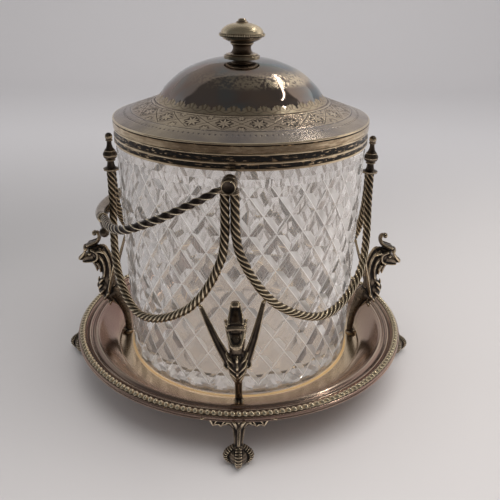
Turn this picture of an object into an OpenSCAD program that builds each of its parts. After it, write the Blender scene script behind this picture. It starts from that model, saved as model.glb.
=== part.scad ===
// Biscuit jar: a cut-glass barrel with a plated collar and domed lid, standing in a footed
// tray between four winged griffins, with rope swags, rope uprights and a swing handle.
// Millimetres. +Z is up, the origin is on the table under the centre of the jar, and the
// handle is lowered to the left (-X). The front is -Y.

/* [Jar] */
// Outer radius of the glass at its foot
jar_foot_r = 65.6; // [58:0.1:72]
// How much wider the glass is at its mouth
jar_flare = 2.2; // [0.5:0.1:4]
// Height of the glass
jar_h = 131.8; // [118:0.1:150]
// Thickness of the glass wall
glass_wall = 5.5; // [4:0.1:8]
// Thickness of the glass base
glass_base = 8; // [5:0.1:12]
// Bevel around the foot of the glass
jar_bevel = 1.2; // [0.5:0.1:2]

/* [Collar] */
// Height of the plated collar below the top of the glass
collar_skirt_h = 6.4; // [5.6:0.1:9]
// Thickness of the collar around the glass
collar_wall = 0.8; // [0.6:0.1:1.5]
// Thickness of the collar over the top of the glass
collar_top_t = 1.5; // [1:0.1:2.5]
// Depth of the collar's sunk bands
band_depth = 0.5; // [0.2:0.05:0.55]

/* [Lid] */
// How far the lid's edge stands out past the collar
lid_overhang = 0.1; // [0:0.1:1]
// Height of the lid's upright edge
lid_edge_h = 4.7; // [3.6:0.1:7]
// Width of the lid's upright edge where it rests on the collar
lid_edge_w = 3; // [2.2:0.1:4]
// Thickness of the lid's metal
lid_wall = 1; // [0.8:0.1:1.6]
// Radius of the dome at its foot
dome_r = 45.6; // [38:0.1:50]
// Rise of the sloping border from the lid's edge to the dome
border_rise = 8; // [5:0.1:12]
// Height of the dome above the border
dome_h = 21.4; // [16:0.1:28]
// Depth of the locating ring that drops inside the collar
bezel_depth = 6; // [4:0.1:9]
// Thickness of the locating ring
bezel_wall = 1; // [0.8:0.1:1.5]
// Clearance of the locating ring inside the collar
bezel_gap = 0.5; // [0.3:0.05:1]

/* [Knob] */
// Radius of the knob's foot
knob_foot_r = 9.4; // [8:0.1:11]
// Radius of the knob's waist
knob_waist_r = 4.6; // [4:0.1:6]
// Height of the knob's stem
knob_stem_h = 7.5; // [6:0.1:12]
// Radius of the knob's beaded girdle
knob_r = 12.1; // [10:0.1:14]
// Height of the bowl under the girdle
knob_cup_h = 3.8; // [2.5:0.1:5]
// Height of the rounded top above the girdle
knob_cap_h = 5.9; // [4:0.1:8]
// Diameter of the knob's bead ring
knob_bead_d = 1.8; // [1.4:0.1:2.6]
// Radius of the button on top
knob_button_r = 3.1; // [2:0.1:4]
// Height of the button on top
knob_button_h = 2.1; // [1:0.1:3]
// Radius of the screw that holds the knob
knob_screw_r = 2; // [1.5:0.1:2.6]

/* [Tray] */
// Height of the tray's floor above the table
tray_floor_z = 14.2; // [12.6:0.1:20]
// Flat floor left clear around the foot of the jar
tray_margin = 8.1; // [8:0.1:14]
// Width of the hollow slope outside the floor
tray_slope_w = 11; // [8:0.1:16]
// Depth of the dish
tray_depth = 11.1; // [8:0.1:14]
// Width of each moulding on the border
moulding_w = 2.75; // [2.3:0.05:3.5]
// Thickness of the tray's metal
tray_wall = 1.5; // [1.2:0.1:2]
// Diameter of the beads round the edge
bead_d = 3.4; // [2.6:0.1:4]
// Depth of the plain band below the beads
tray_band_h = 2.8; // [2:0.1:4]

/* [Feet] */
// How far the middle of a foot stands out past the tray's edge
foot_out = 2.2; // [1:0.1:3.5]
// Half width of each foot's bat-wing bracket
bracket_half_w = 14.2; // [12:0.1:18]
// Thickness of the bracket
bracket_t = 1.6; // [1.2:0.1:2.4]
// Depth of the bracket below the tray's edge
bracket_h = 6.2; // [5:0.1:8]
// Radius of the ball under the claws
claw_ball_r = 6; // [4.5:0.1:7]
// Height of the claws from the table to the ankle
claw_h = 12.4; // [10.5:0.1:14]
// Radius of a claw
claw_r = 1.3; // [1:0.1:1.6]
// Radius of the flat that touches the table
toe_r = 2; // [1.5:0.1:3]
// Radius of the ankle
ankle_r = 2.7; // [2:0.1:3.5]

/* [Griffins] */
// Gap between the foot of the jar and a griffin's pad
griffin_gap = 1.6; // [1:0.1:3]
// Radius of a griffin's pad
pad_r = 3; // [2.6:0.1:3.4]
// Height of a griffin's head above the tray's floor
griffin_h = 61; // [55:0.5:64]
// Angle at which the front and back griffins lean over with their uprights
griffin_lean = 1.8; // [0:0.1:3]
// Radius of a wing at the shoulder
wing_root_r = 2.3; // [1.6:0.1:2.8]
// Radius of a wing at its tip
wing_tip_r = 0.8; // [0.6:0.1:1.2]
// Radius of the screw under a griffin
griffin_screw_r = 1.5; // [1.2:0.1:2]

/* [Ropes] */
// Diameter of the ropes
rope_d = 4.5; // [3.6:0.1:5]
// Clearance between the collar and the upright ropes
post_gap = 2.15; // [1.8:0.05:3]
// Gap between the two ropes of an upright
rope_pair_gap = 0.1; // [0.05:0.05:0.5]
// Height of the lowest point of a swag above the tray's floor
swag_low_h = 41.5; // [38:0.1:50]
// Angle round the jar at which the front and back uprights lean
upright_lean = 3.9; // [0:0.1:5]
// How much the lean lifts the swags on one side of those uprights and drops the others
lean_lift = 2.8; // [0:0.1:4]
// Angle by which the lean moves the lowest points of the swags round the jar
low_shift = 5; // [0:0.5:8]

/* [Handle] */
// Drop from the top of the glass to the handle's pivots
pivot_drop = 10.5; // [9:0.1:14]
// Clearance between the raised handle and the knob
knob_clearance = 20.1; // [12:0.1:30]
// How far the handle's arms bow out past their eyes
arm_bulge = 3.2; // [0:0.1:5]
// Gap left between the lowered handle and the upright it leans on
rest_gap = 0.3; // [0.2:0.05:1]
// Radius of the grip at its middle
grip_r = 4; // [3:0.1:4.8]
// Half length of the grip
grip_half = 26; // [22:0.5:29]
// How far the grip bows out between its ends
grip_bow = 6.7; // [4:0.1:9]
// Gap between the grip's ends and their collars
grip_gap = 0.1; // [0.1:0.05:0.3]
// Width of the collars at the ends of the grip
grip_collar_w = 3; // [2:0.1:4]
// Radius of those collars
grip_collar_r = 2.9; // [2.6:0.1:3.6]
// Radius of the ball that hangs beside each collar
drop_ball_r = 2.6; // [1.8:0.1:3]
// Radius of the pivot pins
pin_r = 1.5; // [1.2:0.05:1.8]
// Running clearance round a pivot pin
run_gap = 0.05; // [0.02:0.01:0.1]
// Thickness of the handle's eyes
eye_t = 2.6; // [2.2:0.1:3.2]
// Radius of the handle's eyes
eye_r = 3; // [2.6:0.1:3.4]
// Side clearance of an eye on its pin
side_gap = 0.2; // [0.1:0.05:0.4]
// Radius of a pin's cupped head
pin_head_r = 3.2; // [3:0.1:4]
// Thickness of a pin's cupped head
pin_head_t = 2; // [1.4:0.1:2.6]

/* [Finials] */
// Height of a finial
finial_h = 21; // [16:0.1:26]
// Radius of a finial's foot
finial_foot_r = 4.3; // [3.8:0.1:5]
// Drop from the pivots to the foot of a finial
finial_drop = 15.9; // [12:0.1:20]

/* [Fasteners] */
// Height of the nuts
nut_h = 2.4; // [1.8:0.1:3]
// Thickness of the washers
washer_t = 0.5; // [0.4:0.1:1]
// How far a screw's end stands out of its nut
screw_end = 0.8; // [0.4:0.1:1.2]
// Clearance of a screw in its hole
screw_gap = 0.1; // [0.05:0.05:0.3]

/* [Hidden] */
$fn = 96;

// Turns from the right-hand side (+X) to each side of the jar
RIGHT = 0;
BACK = 90;
LEFT = 180;
FRONT = 270;
SIDES = [FRONT, RIGHT, BACK, LEFT];

SILVER = "#b9ac92";
DARK_SILVER = "#6f6658";
ROPE_SILVER = "#958a72";
GLASS = [0.86, 0.88, 0.9, 0.4];

// Jar, collar and lid
jar_mouth_r = jar_foot_r + jar_flare;
jar_in_r = jar_foot_r - glass_wall;
mouth_in_r = jar_mouth_r - glass_wall;
jar_top_z = tray_floor_z + jar_h;
collar_r = jar_mouth_r + collar_wall;
collar_z = jar_top_z - collar_skirt_h;
joint_z = jar_top_z + collar_top_t;
lid_r = collar_r + lid_overhang;
lid_edge_z = joint_z + lid_edge_h;
border_z = lid_edge_z + border_rise;
dome_top_z = border_z + dome_h;
bezel_r = mouth_in_r - bezel_gap;

// Tray
well_r = jar_foot_r + tray_margin;
step_w = 0.8;
slope_r = well_r + step_w;
shoulder_r = slope_r + tray_slope_w;
border_z0 = tray_floor_z + tray_depth;
bead_seat_z = border_z0 + 0.7;
tray_lip = 0.65;
tray_r = shoulder_r + 3 * moulding_w + bead_d + tray_lip;
bead_ring_r = tray_r - tray_lip - bead_d / 2;
band_foot_z = bead_seat_z - tray_band_h;

// Griffins stand in the tray beside the jar, feet under the tray's edge
griffin_pos_r = jar_foot_r + griffin_gap + pad_r;
bracket_r = tray_r - tray_wall - bracket_t;
foot_r = tray_r + foot_out;

// Ropes, uprights and pivots
rope_r = rope_d / 2;
post_r = collar_r + post_gap + rope_r;
pair_off = rope_r + rope_pair_gap / 2;
swag_low_z = tray_floor_z + swag_low_h;
pivot_z = jar_top_z - pivot_drop;
block_r = 3.7;
block_foot_h = 1.6;
block_half_t = rope_r + 0.1;
block_foot_z = pivot_z - block_r - block_foot_h / 2;
finial_z = pivot_z - finial_drop;

// Handle
knob_base_z = dome_top_z - 0.5;
knob_top_z = knob_base_z + knob_stem_h + knob_cup_h + knob_cap_h + knob_button_h;
bail_reach = knob_top_z - pivot_z + knob_clearance + grip_r;
bail_tilt = acos((post_r + rope_r + rest_gap + grip_r) / bail_reach);
eye_y = post_r + block_half_t + side_gap + eye_t / 2;
arm_y = eye_y + arm_bulge;
eye_neck_r = eye_t / 2 - 0.05;
eye_neck_l = 3.2;
eye_neck_s = eye_r + eye_neck_l;
grip_arc_r = (grip_half * grip_half + grip_bow * grip_bow) / (2 * grip_bow);
grip_end_a = asin(grip_half / grip_arc_r);

module turned(side) rotate([0, 0, side]) children();

// A round rod from p to q, with its own radius at each end
module rod(p, q, r1, r2) {
    v = q - p;
    l = norm(v);
    translate(p)
        rotate([0, acos(v.z / l), atan2(v.y, v.x)])
            cylinder(h = l, r1 = r1, r2 = r2, $fn = 32);
}

// A hexagon nut, or with more sides a washer, standing on z = 0
module ring_blank(outer, bore, h, sides) {
    difference() {
        cylinder(h = h, r = outer, $fn = sides);
        translate([0, 0, -1]) cylinder(h = h + 2, r = bore, $fn = 48);
    }
}

// ---------------------------------------------------------------- sweeping a rope

function unit(v) = v / norm(v);

// A smooth curve through the middle two of four points
function blend(a, b, c, d, u) =
    0.5 * ((2 * b) + (c - a) * u + (2 * a - 5 * b + 4 * c - d) * u * u
        + (3 * b - a - 3 * c + d) * u * u * u);

// The same curve through a whole list of points, with n steps between each pair
function smooth_path(pts, n) = [
    for (i = [0:len(pts) - 2])
        let (a = pts[max(i - 1, 0)], b = pts[i], c = pts[i + 1], d = pts[min(i + 2, len(pts) - 1)])
            for (k = [0:n - 1]) blend(a, b, c, d, k / n),
    pts[len(pts) - 1]
];

function path_dir(path, i) =
    unit(path[min(i + 1, len(path) - 1)] - path[max(i - 1, 0)]);

// One ring of points round the path; out is a direction roughly square to the path
function rope_ring(p, dir, out, r, sides) =
    let (n = unit(out - (out * dir) * dir), b = cross(dir, n))
        [for (j = [0:sides - 1]) let (a = 360 * j / sides) p + r * (cos(a) * n + sin(a) * b)];

// A tube along a path, given an outward direction and a radius for each of its points
module rope_tube(path, outs, radii, sides = 10) {
    last = len(path) - 1;
    points = [for (i = [0:last]) each rope_ring(path[i], path_dir(path, i), outs[i], radii[i], sides)];
    walls = [
        for (i = [0:last - 1], j = [0:sides - 1])
            let (k = (j + 1) % sides)
                [i * sides + j, (i + 1) * sides + j, (i + 1) * sides + k, i * sides + k]
    ];
    first_cap = [for (j = [0:sides - 1]) j];
    last_cap = [for (j = [0:sides - 1]) last * sides + sides - 1 - j];
    polyhedron(points = points, faces = concat([first_cap], walls, [last_cap]), convexity = 8);
}

// ---------------------------------------------------------------- tray

// Half section of the tray: the dish above, the metal's underside below
slope_steps = 6;
slope_rise = tray_depth - 1.6;
slope_z0 = tray_floor_z + 0.9;
function slope_point(u) = [slope_r + tray_slope_w * u, slope_z0 + slope_rise * pow(u, 1.6)];
groove_depth = 0.85;

function tray_top() = concat(
    [[0, tray_floor_z], [well_r, tray_floor_z]],
    [for (i = [0:slope_steps]) slope_point(i / slope_steps)],
    [
        [shoulder_r + 0.36 * moulding_w, border_z0],
        [shoulder_r + 0.75 * moulding_w, border_z0 - 0.1],
        [shoulder_r + 1.25 * moulding_w, border_z0 - groove_depth],
        [shoulder_r + 1.75 * moulding_w, border_z0 - groove_depth],
        [shoulder_r + 2.15 * moulding_w, border_z0 + 0.1],
        [shoulder_r + 2.6 * moulding_w, border_z0 - groove_depth],
        [shoulder_r + 3 * moulding_w, bead_seat_z],
        [tray_r - 0.4, bead_seat_z],
        [tray_r, bead_seat_z - 0.4],
        [tray_r, band_foot_z]
    ]
);

function tray_under() = concat(
    [
        [tray_r - tray_wall, band_foot_z],
        [tray_r - tray_wall, bead_seat_z - tray_wall],
        [shoulder_r + 2.75 * moulding_w, border_z0 - groove_depth - tray_wall],
        [shoulder_r + 0.6 * tray_wall, border_z0 - groove_depth - tray_wall]
    ],
    [for (i = [slope_steps - 1:-1:0])
        slope_point(i / slope_steps) + tray_wall * [0.65, -0.8]],
    [[well_r + 0.5 * tray_wall, tray_floor_z - tray_wall], [0, tray_floor_z - tray_wall]]
);

module tray_solid() {
    difference() {
        rotate_extrude() polygon(concat(tray_top(), tray_under()));
        for (side = SIDES)
            turned(side)
                translate([griffin_pos_r, 0, tray_floor_z - 2 * tray_wall])
                    cylinder(h = 4 * tray_wall, r = griffin_screw_r + screw_gap, $fn = 32);
    }
}

module tray_dish() color(SILVER) tray_solid();

// A half-round wire that lies on the tray's edge
module tray_bead_wire() {
    color(SILVER)
        rotate_extrude()
            difference() {
                translate([bead_ring_r, bead_seat_z + 0.3 * bead_d]) circle(d = bead_d, $fn = 32);
                translate([bead_ring_r - bead_d, bead_seat_z - bead_d]) square([2 * bead_d, bead_d]);
            }
}

// ---------------------------------------------------------------- feet

// Right half of the bat wing, from the middle out to the tip and back along the top
bat_wing_half = [
    [0.16, 1.5], [0.3, 1.05], [0.42, 0.86], [0.55, 0.8], [0.66, 0.86], [0.75, 1],
    [0.79, 0.86], [0.88, 1], [0.92, 0.72], [0.97, 0.35], [1, 0]
];

module bat_wing() {
    half = [for (p = bat_wing_half) [p.x * bracket_half_w, -p.y * bracket_h]];
    mirrored = [for (i = [len(half) - 1:-1:0]) [-half[i].x, half[i].y]];
    linear_extrude(bracket_t) polygon(concat(mirrored, half));
}

// Ball with a flat toe, then three claws that grip it from the ankle down
module claw_and_ball() {
    knuckle_z = 0.49 * claw_h;
    rotate_extrude($fn = 48)
        polygon([
            [0, 0], [toe_r, 0], [0.85 * claw_ball_r, 0.6 * knuckle_z], [claw_ball_r, knuckle_z],
            [0.8 * claw_ball_r, 0.7 * claw_h], [ankle_r, 0.9 * claw_h], [0, claw_h]
        ]);
    ankle = [0, 0, claw_h - claw_r];
    for (a = [0, 88, -88])
        rotate([0, 0, a]) {
            knuckle = [claw_ball_r + 0.2, 0, knuckle_z];
            rod(ankle, knuckle, claw_r, claw_r);
            translate(knuckle) sphere(r = claw_r, $fn = 32);
            rod(knuckle, [toe_r + claw_r - 0.4, 0, 0.9 * claw_r], claw_r, 0.6 * claw_r);
        }
}

module foot(side) {
    color(DARK_SILVER)
        turned(side)
            difference() {
                union() {
                    translate([bracket_r, 0, bead_seat_z - tray_wall])
                        rotate([90, 0, 90]) bat_wing();
                    rod([foot_r, 0, claw_h - ankle_r / 2],
                        [bracket_r - ankle_r, 0, bead_seat_z - tray_wall], ankle_r, 1.4 * ankle_r);
                    translate([foot_r, 0, 0]) claw_and_ball();
                }
                rotate_extrude()
                    polygon(concat(tray_under(), [[0, border_z0 + 9], [tray_r + 9, border_z0 + 9],
                        [tray_r + 9, band_foot_z]]));
            }
}

// ---------------------------------------------------------------- griffins

// Side outline, out from the middle of the pad and up from the tray's floor
griffin_side = [
    [-1.6, 2], [-0.8, 12], [0, 21], [1, 28], [2.8, 33], [5.2, 38], [6.2, 44], [6.5, 50],
    [7.8, 55.3], [10.3, 58.8], [13.3, 61], [16.3, 60.8], [19.3, 60], [21.8, 59], [22.6, 57.3],
    [21.8, 55.4], [23.3, 53], [26.2, 50], [25.2, 47.8], [20.8, 48.4], [17.8, 47.4], [15.6, 45.8],
    [15.1, 42.8], [12.8, 40.4], [14, 36.8], [15.6, 33.3], [16.2, 30.2], [14.6, 27.6],
    [10.3, 24], [5.8, 21.8], [3.2, 18], [2, 10], [1.8, 2]
];

// Half width at each height
griffin_front_half = [
    [2.2, 2], [2.1, 12], [2.4, 19], [3.4, 22], [4.8, 28], [5.4, 33], [4.4, 39], [3.4, 44],
    [4, 48], [4.5, 53], [3.4, 57], [2.4, 61]
];

griffin_reach = max([for (p = griffin_side) p.x]);
griffin_half_w = max([for (p = griffin_front_half) p.x]);
griffin_scale = griffin_h / max([for (p = griffin_side) p.y]);
function leans(side) = side == FRONT || side == BACK;

module griffin_figure() {
    horn_r = 1.1;
    curl_r = 2.5;
    curl_open = 30;
    horn_seat = [13.2, 0, 60];
    horn_bend = [11.8, 0, 65];
    mirrored = [for (i = [len(griffin_front_half) - 1:-1:0])
        [-griffin_front_half[i].x, griffin_front_half[i].y]];
    intersection() {
        rotate([90, 0, 0])
            linear_extrude(3 * griffin_half_w, center = true) polygon(griffin_side);
        rotate([90, 0, 90])
            linear_extrude(3 * griffin_reach, center = true)
                polygon(concat(griffin_front_half, mirrored));
    }
    // Curled horn with a ball at its end
    rod(horn_seat, horn_bend, 1.5 * horn_r, horn_r);
    translate(horn_bend + [curl_r, 0, 0])
        rotate([90, 0, 0])
            rotate([0, 0, curl_open])
                rotate_extrude(angle = 180 - curl_open, $fn = 48)
                    translate([curl_r, 0]) circle(r = horn_r, $fn = 24);
    translate(horn_bend + curl_r * [1 + cos(curl_open), 0, sin(curl_open)])
        sphere(r = 1.5 * horn_r, $fn = 32);
    // Volutes of the wings on both shoulders
    for (m = [1, -1])
        translate([9.8, 5.3 * m, 31.5])
            rotate([90, 0, 0]) cylinder(h = 2, r = 2, center = true, $fn = 32);
}

function leaned(p, a) = [p.x, p.y * cos(a) - p.z * sin(a), p.y * sin(a) + p.z * cos(a)];

module griffin(side) {
    lean = leans(side) ? griffin_lean : 0;
    shank = tray_wall + washer_t + nut_h + screw_end;
    color(DARK_SILVER)
        turned(side)
            translate([griffin_pos_r, 0, tray_floor_z]) {
                rotate([lean, 0, 0]) scale(griffin_scale) griffin_figure();
                cylinder(h = 0.9 * pad_r, r1 = pad_r, r2 = 0.7 * pad_r, $fn = 48);
                for (m = [1, -1]) {
                    root = leaned(griffin_scale * [8, 4 * m, 32.5], lean);
                    tip = wing_tip(side, m) - [griffin_pos_r, 0, tray_floor_z];
                    rod(root, tip, wing_root_r, wing_tip_r);
                }
                translate([0, 0, -shank]) cylinder(h = shank + 1, r = griffin_screw_r, $fn = 32);
            }
}

module under_each_griffin(drop) {
    for (side = SIDES)
        turned(side)
            translate([griffin_pos_r, 0, tray_floor_z - tray_wall - drop]) children();
}

module griffin_washers() {
    color(SILVER)
        under_each_griffin(washer_t)
            ring_blank(2.3 * griffin_screw_r, griffin_screw_r + screw_gap, washer_t, 48);
}

module griffin_nuts() {
    color(DARK_SILVER)
        under_each_griffin(washer_t + nut_h)
            ring_blank(2.1 * griffin_screw_r, griffin_screw_r, nut_h, 6);
}

// ---------------------------------------------------------------- rope swags

// Half of a swag, from beside the upright to its lowest point midway to the next one: share
// of the way round, share of the height to the finials' feet, and how far it leans in
swag_route = [
    [0.044, 0.867, 0], [0.069, 0.712, 0], [0.108, 0.619, 0], [0.149, 0.534, 0],
    [0.195, 0.461, 0], [0.247, 0.387, 0], [0.312, 0.313, 0.2], [0.385, 0.243, 0.4],
    [0.475, 0.181, 0.8], [0.57, 0.127, 1.2], [0.68, 0.076, 1.6], [0.79, 0.037, 1.8],
    [0.9, 0.011, 1.95], [1, 0, 2]
];

function around(angle, r, z) = [r * cos(angle), r * sin(angle), z];
pair_angle = atan(pair_off / post_r);

// Each swag joins a leaning upright to a plumb one. Its way is 1 if the leaning upright
// leans away from it, which draws it tight, and -1 if it leans over it.
function swag_low(way) = swag_low_z + way * lean_lift;
function swag_z(share, way) = swag_low(way) + share * (finial_z - swag_low(way));
function swag_angle(share, plumb, way) =
    max(pair_angle, share * (45 + (plumb ? way : -way) * low_shift));

// How far a leaning upright has turned round the jar at height z
function lean_at(z) =
    upright_lean * sin(90 * min(1, max(0, (z - swag_low_z) / (pivot_z - swag_low_z))));

// From the foot of a fitting down one upright and along to the lowest point
function half_swag(plumb, way) =
    let (turn = plumb ? 0 : way, top_z = plumb ? finial_z : block_foot_z,
        run_z = swag_z(swag_route[0].y, way))
        concat(
            [for (z = [top_z, (top_z + run_z) / 2])
                around(pair_angle - turn * lean_at(z), post_r, z)],
            [for (p = swag_route)
                let (z = swag_z(p.y, way))
                    around(swag_angle(p.x, plumb, way) - turn * lean_at(z), post_r - p.z, z)]
        );

function mirror_45(p) = [p.y, p.x, p.z];
function reversed(list) = [for (i = [len(list) - 1:-1:0]) list[i]];

// A whole swag, from the upright on one side to that on the next side round
module swag(side) {
    way = leans(side) ? 1 : -1;
    first = half_swag(!leans(side), way);
    last = half_swag(leans(side), way);
    back_up = reversed([for (i = [0:len(last) - 2]) mirror_45(last[i])]);
    path = smooth_path(concat(first, back_up), 2);
    color(ROPE_SILVER)
        turned(side)
            rope_tube(path, [for (p = path) [p.x, p.y, 0]], [for (p = path) rope_r]);
}

// Where a wing's tip meets the underside of a swag, m being 1 or -1 for the two wings
tip_foot = swag_route[6];
tip_gap = 0.15;
function wing_tip(side, m) =
    let (way = leans(side) ? m : -m, z = swag_z(tip_foot.y, way),
        a = m * swag_angle(tip_foot.x, !leans(side), way) - (leans(side) ? lean_at(z) : 0))
        around(a, post_r - tip_foot.z, z)
            + (rope_r + wing_tip_r + tip_gap) * [0.67 * m * sin(a), -0.67 * m * cos(a), -0.74];

// ---------------------------------------------------------------- pivots and finials

module pivot_block(side) {
    color(DARK_SILVER)
        turned(side - upright_lean)
            difference() {
                union() {
                    translate([post_r - block_half_t, 0, pivot_z])
                        rotate([0, 90, 0]) cylinder(h = 2 * block_half_t, r = block_r);
                    translate([post_r - block_half_t, -2 * rope_r, block_foot_z])
                        cube([2 * block_half_t, 4 * rope_r, block_foot_h]);
                }
                translate([post_r - block_half_t - 1, 0, pivot_z])
                    rotate([0, 90, 0]) cylinder(h = 2 * block_half_t + 2, r = pin_r, $fn = 48);
            }
}

module pivot_pin(side) {
    shaft = 2 * block_half_t + side_gap + eye_t + side_gap;
    color(DARK_SILVER)
        turned(side - upright_lean)
            translate([post_r - block_half_t, 0, pivot_z])
                rotate([0, 90, 0])
                    rotate_extrude()
                        polygon([
                            [0, 0], [pin_r, 0], [pin_r, shaft], [0.8 * pin_head_r, shaft],
                            [pin_head_r, shaft + 0.5 * pin_head_t],
                            [pin_head_r, shaft + pin_head_t],
                            [pin_head_r - 0.6, shaft + pin_head_t],
                            [0.5 * pin_head_r, shaft + 0.4 * pin_head_t],
                            [0, shaft + 0.3 * pin_head_t]
                        ]);
}

// Outline of a turned finial: radius and share of its height
finial_turning = [
    [1, 0], [1, 0.05], [0.62, 0.09], [0.5, 0.16], [0.42, 0.24], [0.56, 0.3], [0.86, 0.38],
    [0.9, 0.44], [0.84, 0.5], [0.58, 0.58], [0.36, 0.66], [0.34, 0.76], [0.44, 0.8],
    [0.47, 0.88], [0.36, 0.95], [0, 1]
];

module finial(side) {
    color(DARK_SILVER)
        turned(side)
            translate([post_r, 0, finial_z])
                rotate_extrude($fn = 48)
                    polygon(concat([[0, 0]],
                        [for (p = finial_turning) [p.x * finial_foot_r, p.y * finial_h]]));
}

// ---------------------------------------------------------------- jar and collar

module glass_jar() {
    color(GLASS)
        rotate_extrude()
            polygon([
                [0, tray_floor_z], [jar_foot_r - jar_bevel, tray_floor_z],
                [jar_foot_r, tray_floor_z + jar_bevel], [jar_mouth_r, collar_z],
                [jar_mouth_r, jar_top_z], [mouth_in_r, jar_top_z], [mouth_in_r, collar_z],
                [jar_in_r, tray_floor_z + glass_base + jar_bevel],
                [jar_in_r - jar_bevel, tray_floor_z + glass_base], [0, tray_floor_z + glass_base]
            ]);
}

module glass_collar() {
    skirt = joint_z - collar_z;
    color(SILVER)
        rotate_extrude()
            polygon([
                [jar_mouth_r, collar_z], [collar_r, collar_z], [collar_r, collar_z + 0.16 * skirt],
                [collar_r - band_depth, collar_z + 0.2 * skirt],
                [collar_r - band_depth, collar_z + 0.42 * skirt],
                [collar_r, collar_z + 0.46 * skirt], [collar_r, collar_z + 0.54 * skirt],
                [collar_r - band_depth, collar_z + 0.58 * skirt],
                [collar_r - band_depth, collar_z + 0.88 * skirt],
                [collar_r, collar_z + 0.93 * skirt], [collar_r, joint_z],
                [mouth_in_r, joint_z], [mouth_in_r, jar_top_z], [jar_mouth_r, jar_top_z]
            ]);
}

// ---------------------------------------------------------------- lid

// The dome from its foot to its crown: share of its radius and share of its height
dome_profile = [
    [1, 0], [0.945, 0.13], [0.895, 0.28], [0.82, 0.435], [0.74, 0.575], [0.64, 0.71],
    [0.51, 0.83], [0.37, 0.925], [0.2, 0.985], [0, 1]
];
dome_points = [for (p = smooth_path(dome_profile, 2)) [p.x * dome_r, border_z + p.y * dome_h]];

// The dome's curve, drawn in by an inset for its inner face, which is flat at the crown
crown_t = 1.5 * lid_wall;
function dome_curve(inset) = [
    for (i = [0:len(dome_points) - 1])
        let (d = i < len(dome_points) - 1 ? path_dir(dome_points, i) : [-1, 0],
            p = dome_points[i] + inset * [-d.y, d.x],
            top_z = inset > 0 ? dome_top_z - crown_t : dome_top_z)
            [max(0, p.x), min(p.y, top_z)]
];

// Height of the underside of the sloping border at radius r
lid_chamfer = 0.7;
edge_in_r = lid_r - lid_edge_w;
slope_out_r = lid_r - lid_chamfer;
border_slope = (border_z - lid_edge_z) / (slope_out_r - dome_r);
function border_under(r) = lid_edge_z + border_slope * (slope_out_r - r) - 1.06 * lid_wall;

module lid_rim() {
    color(SILVER)
        rotate_extrude()
            polygon([
                [edge_in_r, joint_z], [lid_r, joint_z], [lid_r, joint_z + 0.3 * lid_edge_h],
                [lid_r - 0.4, joint_z + 0.4 * lid_edge_h],
                [lid_r - 0.1, joint_z + 0.55 * lid_edge_h],
                [lid_r, lid_edge_z - lid_chamfer], [slope_out_r, lid_edge_z],
                [slope_out_r, border_under(slope_out_r)], [edge_in_r, border_under(edge_in_r)]
            ]);
}

module lid_border() {
    foot_r = dome_r - 0.2 * lid_wall;
    color(SILVER)
        rotate_extrude()
            polygon([
                [slope_out_r, lid_edge_z], [dome_r + lid_wall, border_z - 0.35 * lid_wall],
                dome_curve(0)[0], dome_curve(lid_wall)[0], [foot_r, border_under(foot_r)],
                [slope_out_r, border_under(slope_out_r)]
            ]);
}

module lid_dome() {
    color(SILVER)
        difference() {
            rotate_extrude() polygon(concat(dome_curve(0), reversed(dome_curve(lid_wall))));
            translate([0, 0, dome_top_z - 3 * lid_wall])
                cylinder(h = 6 * lid_wall, r = knob_screw_r + screw_gap, $fn = 48);
        }
}

module lid_bezel() {
    in_r = bezel_r - bezel_wall;
    color(SILVER)
        rotate_extrude()
            polygon([
                [in_r, joint_z - bezel_depth], [bezel_r, joint_z - bezel_depth],
                [bezel_r, border_under(bezel_r)], [in_r, border_under(in_r)]
            ]);
}

// ---------------------------------------------------------------- knob

cup_z = knob_base_z + knob_stem_h;
girdle_z = cup_z + knob_cup_h;
cap_z = girdle_z + knob_bead_d / 4;
button_z = girdle_z + knob_cap_h;
washer_z = dome_top_z - crown_t - washer_t;
screw_foot_z = washer_z - nut_h - screw_end;
rim_r = knob_r - knob_bead_d / 2;

module knob_stem() {
    color(SILVER)
        difference() {
            rotate_extrude($fn = 64)
                polygon([
                    [0, screw_foot_z], [knob_screw_r, screw_foot_z], [knob_screw_r, knob_base_z],
                    [knob_foot_r, knob_base_z], [knob_foot_r, knob_base_z + 1],
                    [0.8 * knob_foot_r, knob_base_z + 1.7],
                    [0.6 * knob_foot_r, knob_base_z + 0.24 * knob_stem_h],
                    [knob_waist_r, knob_base_z + 0.45 * knob_stem_h],
                    [knob_waist_r, knob_base_z + 0.62 * knob_stem_h],
                    [knob_waist_r + 1, knob_base_z + 0.76 * knob_stem_h],
                    [knob_waist_r + 1.4, knob_base_z + 0.86 * knob_stem_h],
                    [knob_waist_r + 1.1, cup_z], [0, cup_z]
                ]);
            // The foot is hollowed to sit on the dome
            rotate_extrude($fn = 64)
                polygon(concat([[knob_screw_r, dome_top_z - 3]],
                    [for (p = reversed(dome_curve(0))) [max(p.x, knob_screw_r), p.y]],
                    [[dome_r, dome_top_z - 30], [knob_screw_r, dome_top_z - 30]]));
        }
}

module knob_cup() {
    neck_r = knob_waist_r + 1.1;
    color(SILVER)
        rotate_extrude($fn = 64)
            polygon([
                [0, cup_z], [neck_r, cup_z], [0.5 * (neck_r + rim_r) + 0.6, cup_z + 0.3 * knob_cup_h],
                [0.2 * neck_r + 0.8 * rim_r, cup_z + 0.6 * knob_cup_h],
                [rim_r, girdle_z - knob_bead_d / 4], [rim_r, cap_z], [0, cap_z]
            ]);
}

module knob_bead_ring() {
    color(SILVER)
        rotate_extrude($fn = 64)
            difference() {
                translate([rim_r, girdle_z]) circle(d = knob_bead_d, $fn = 24);
                translate([rim_r - knob_bead_d, girdle_z - knob_bead_d])
                    square([knob_bead_d, 2 * knob_bead_d]);
            }
}

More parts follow.
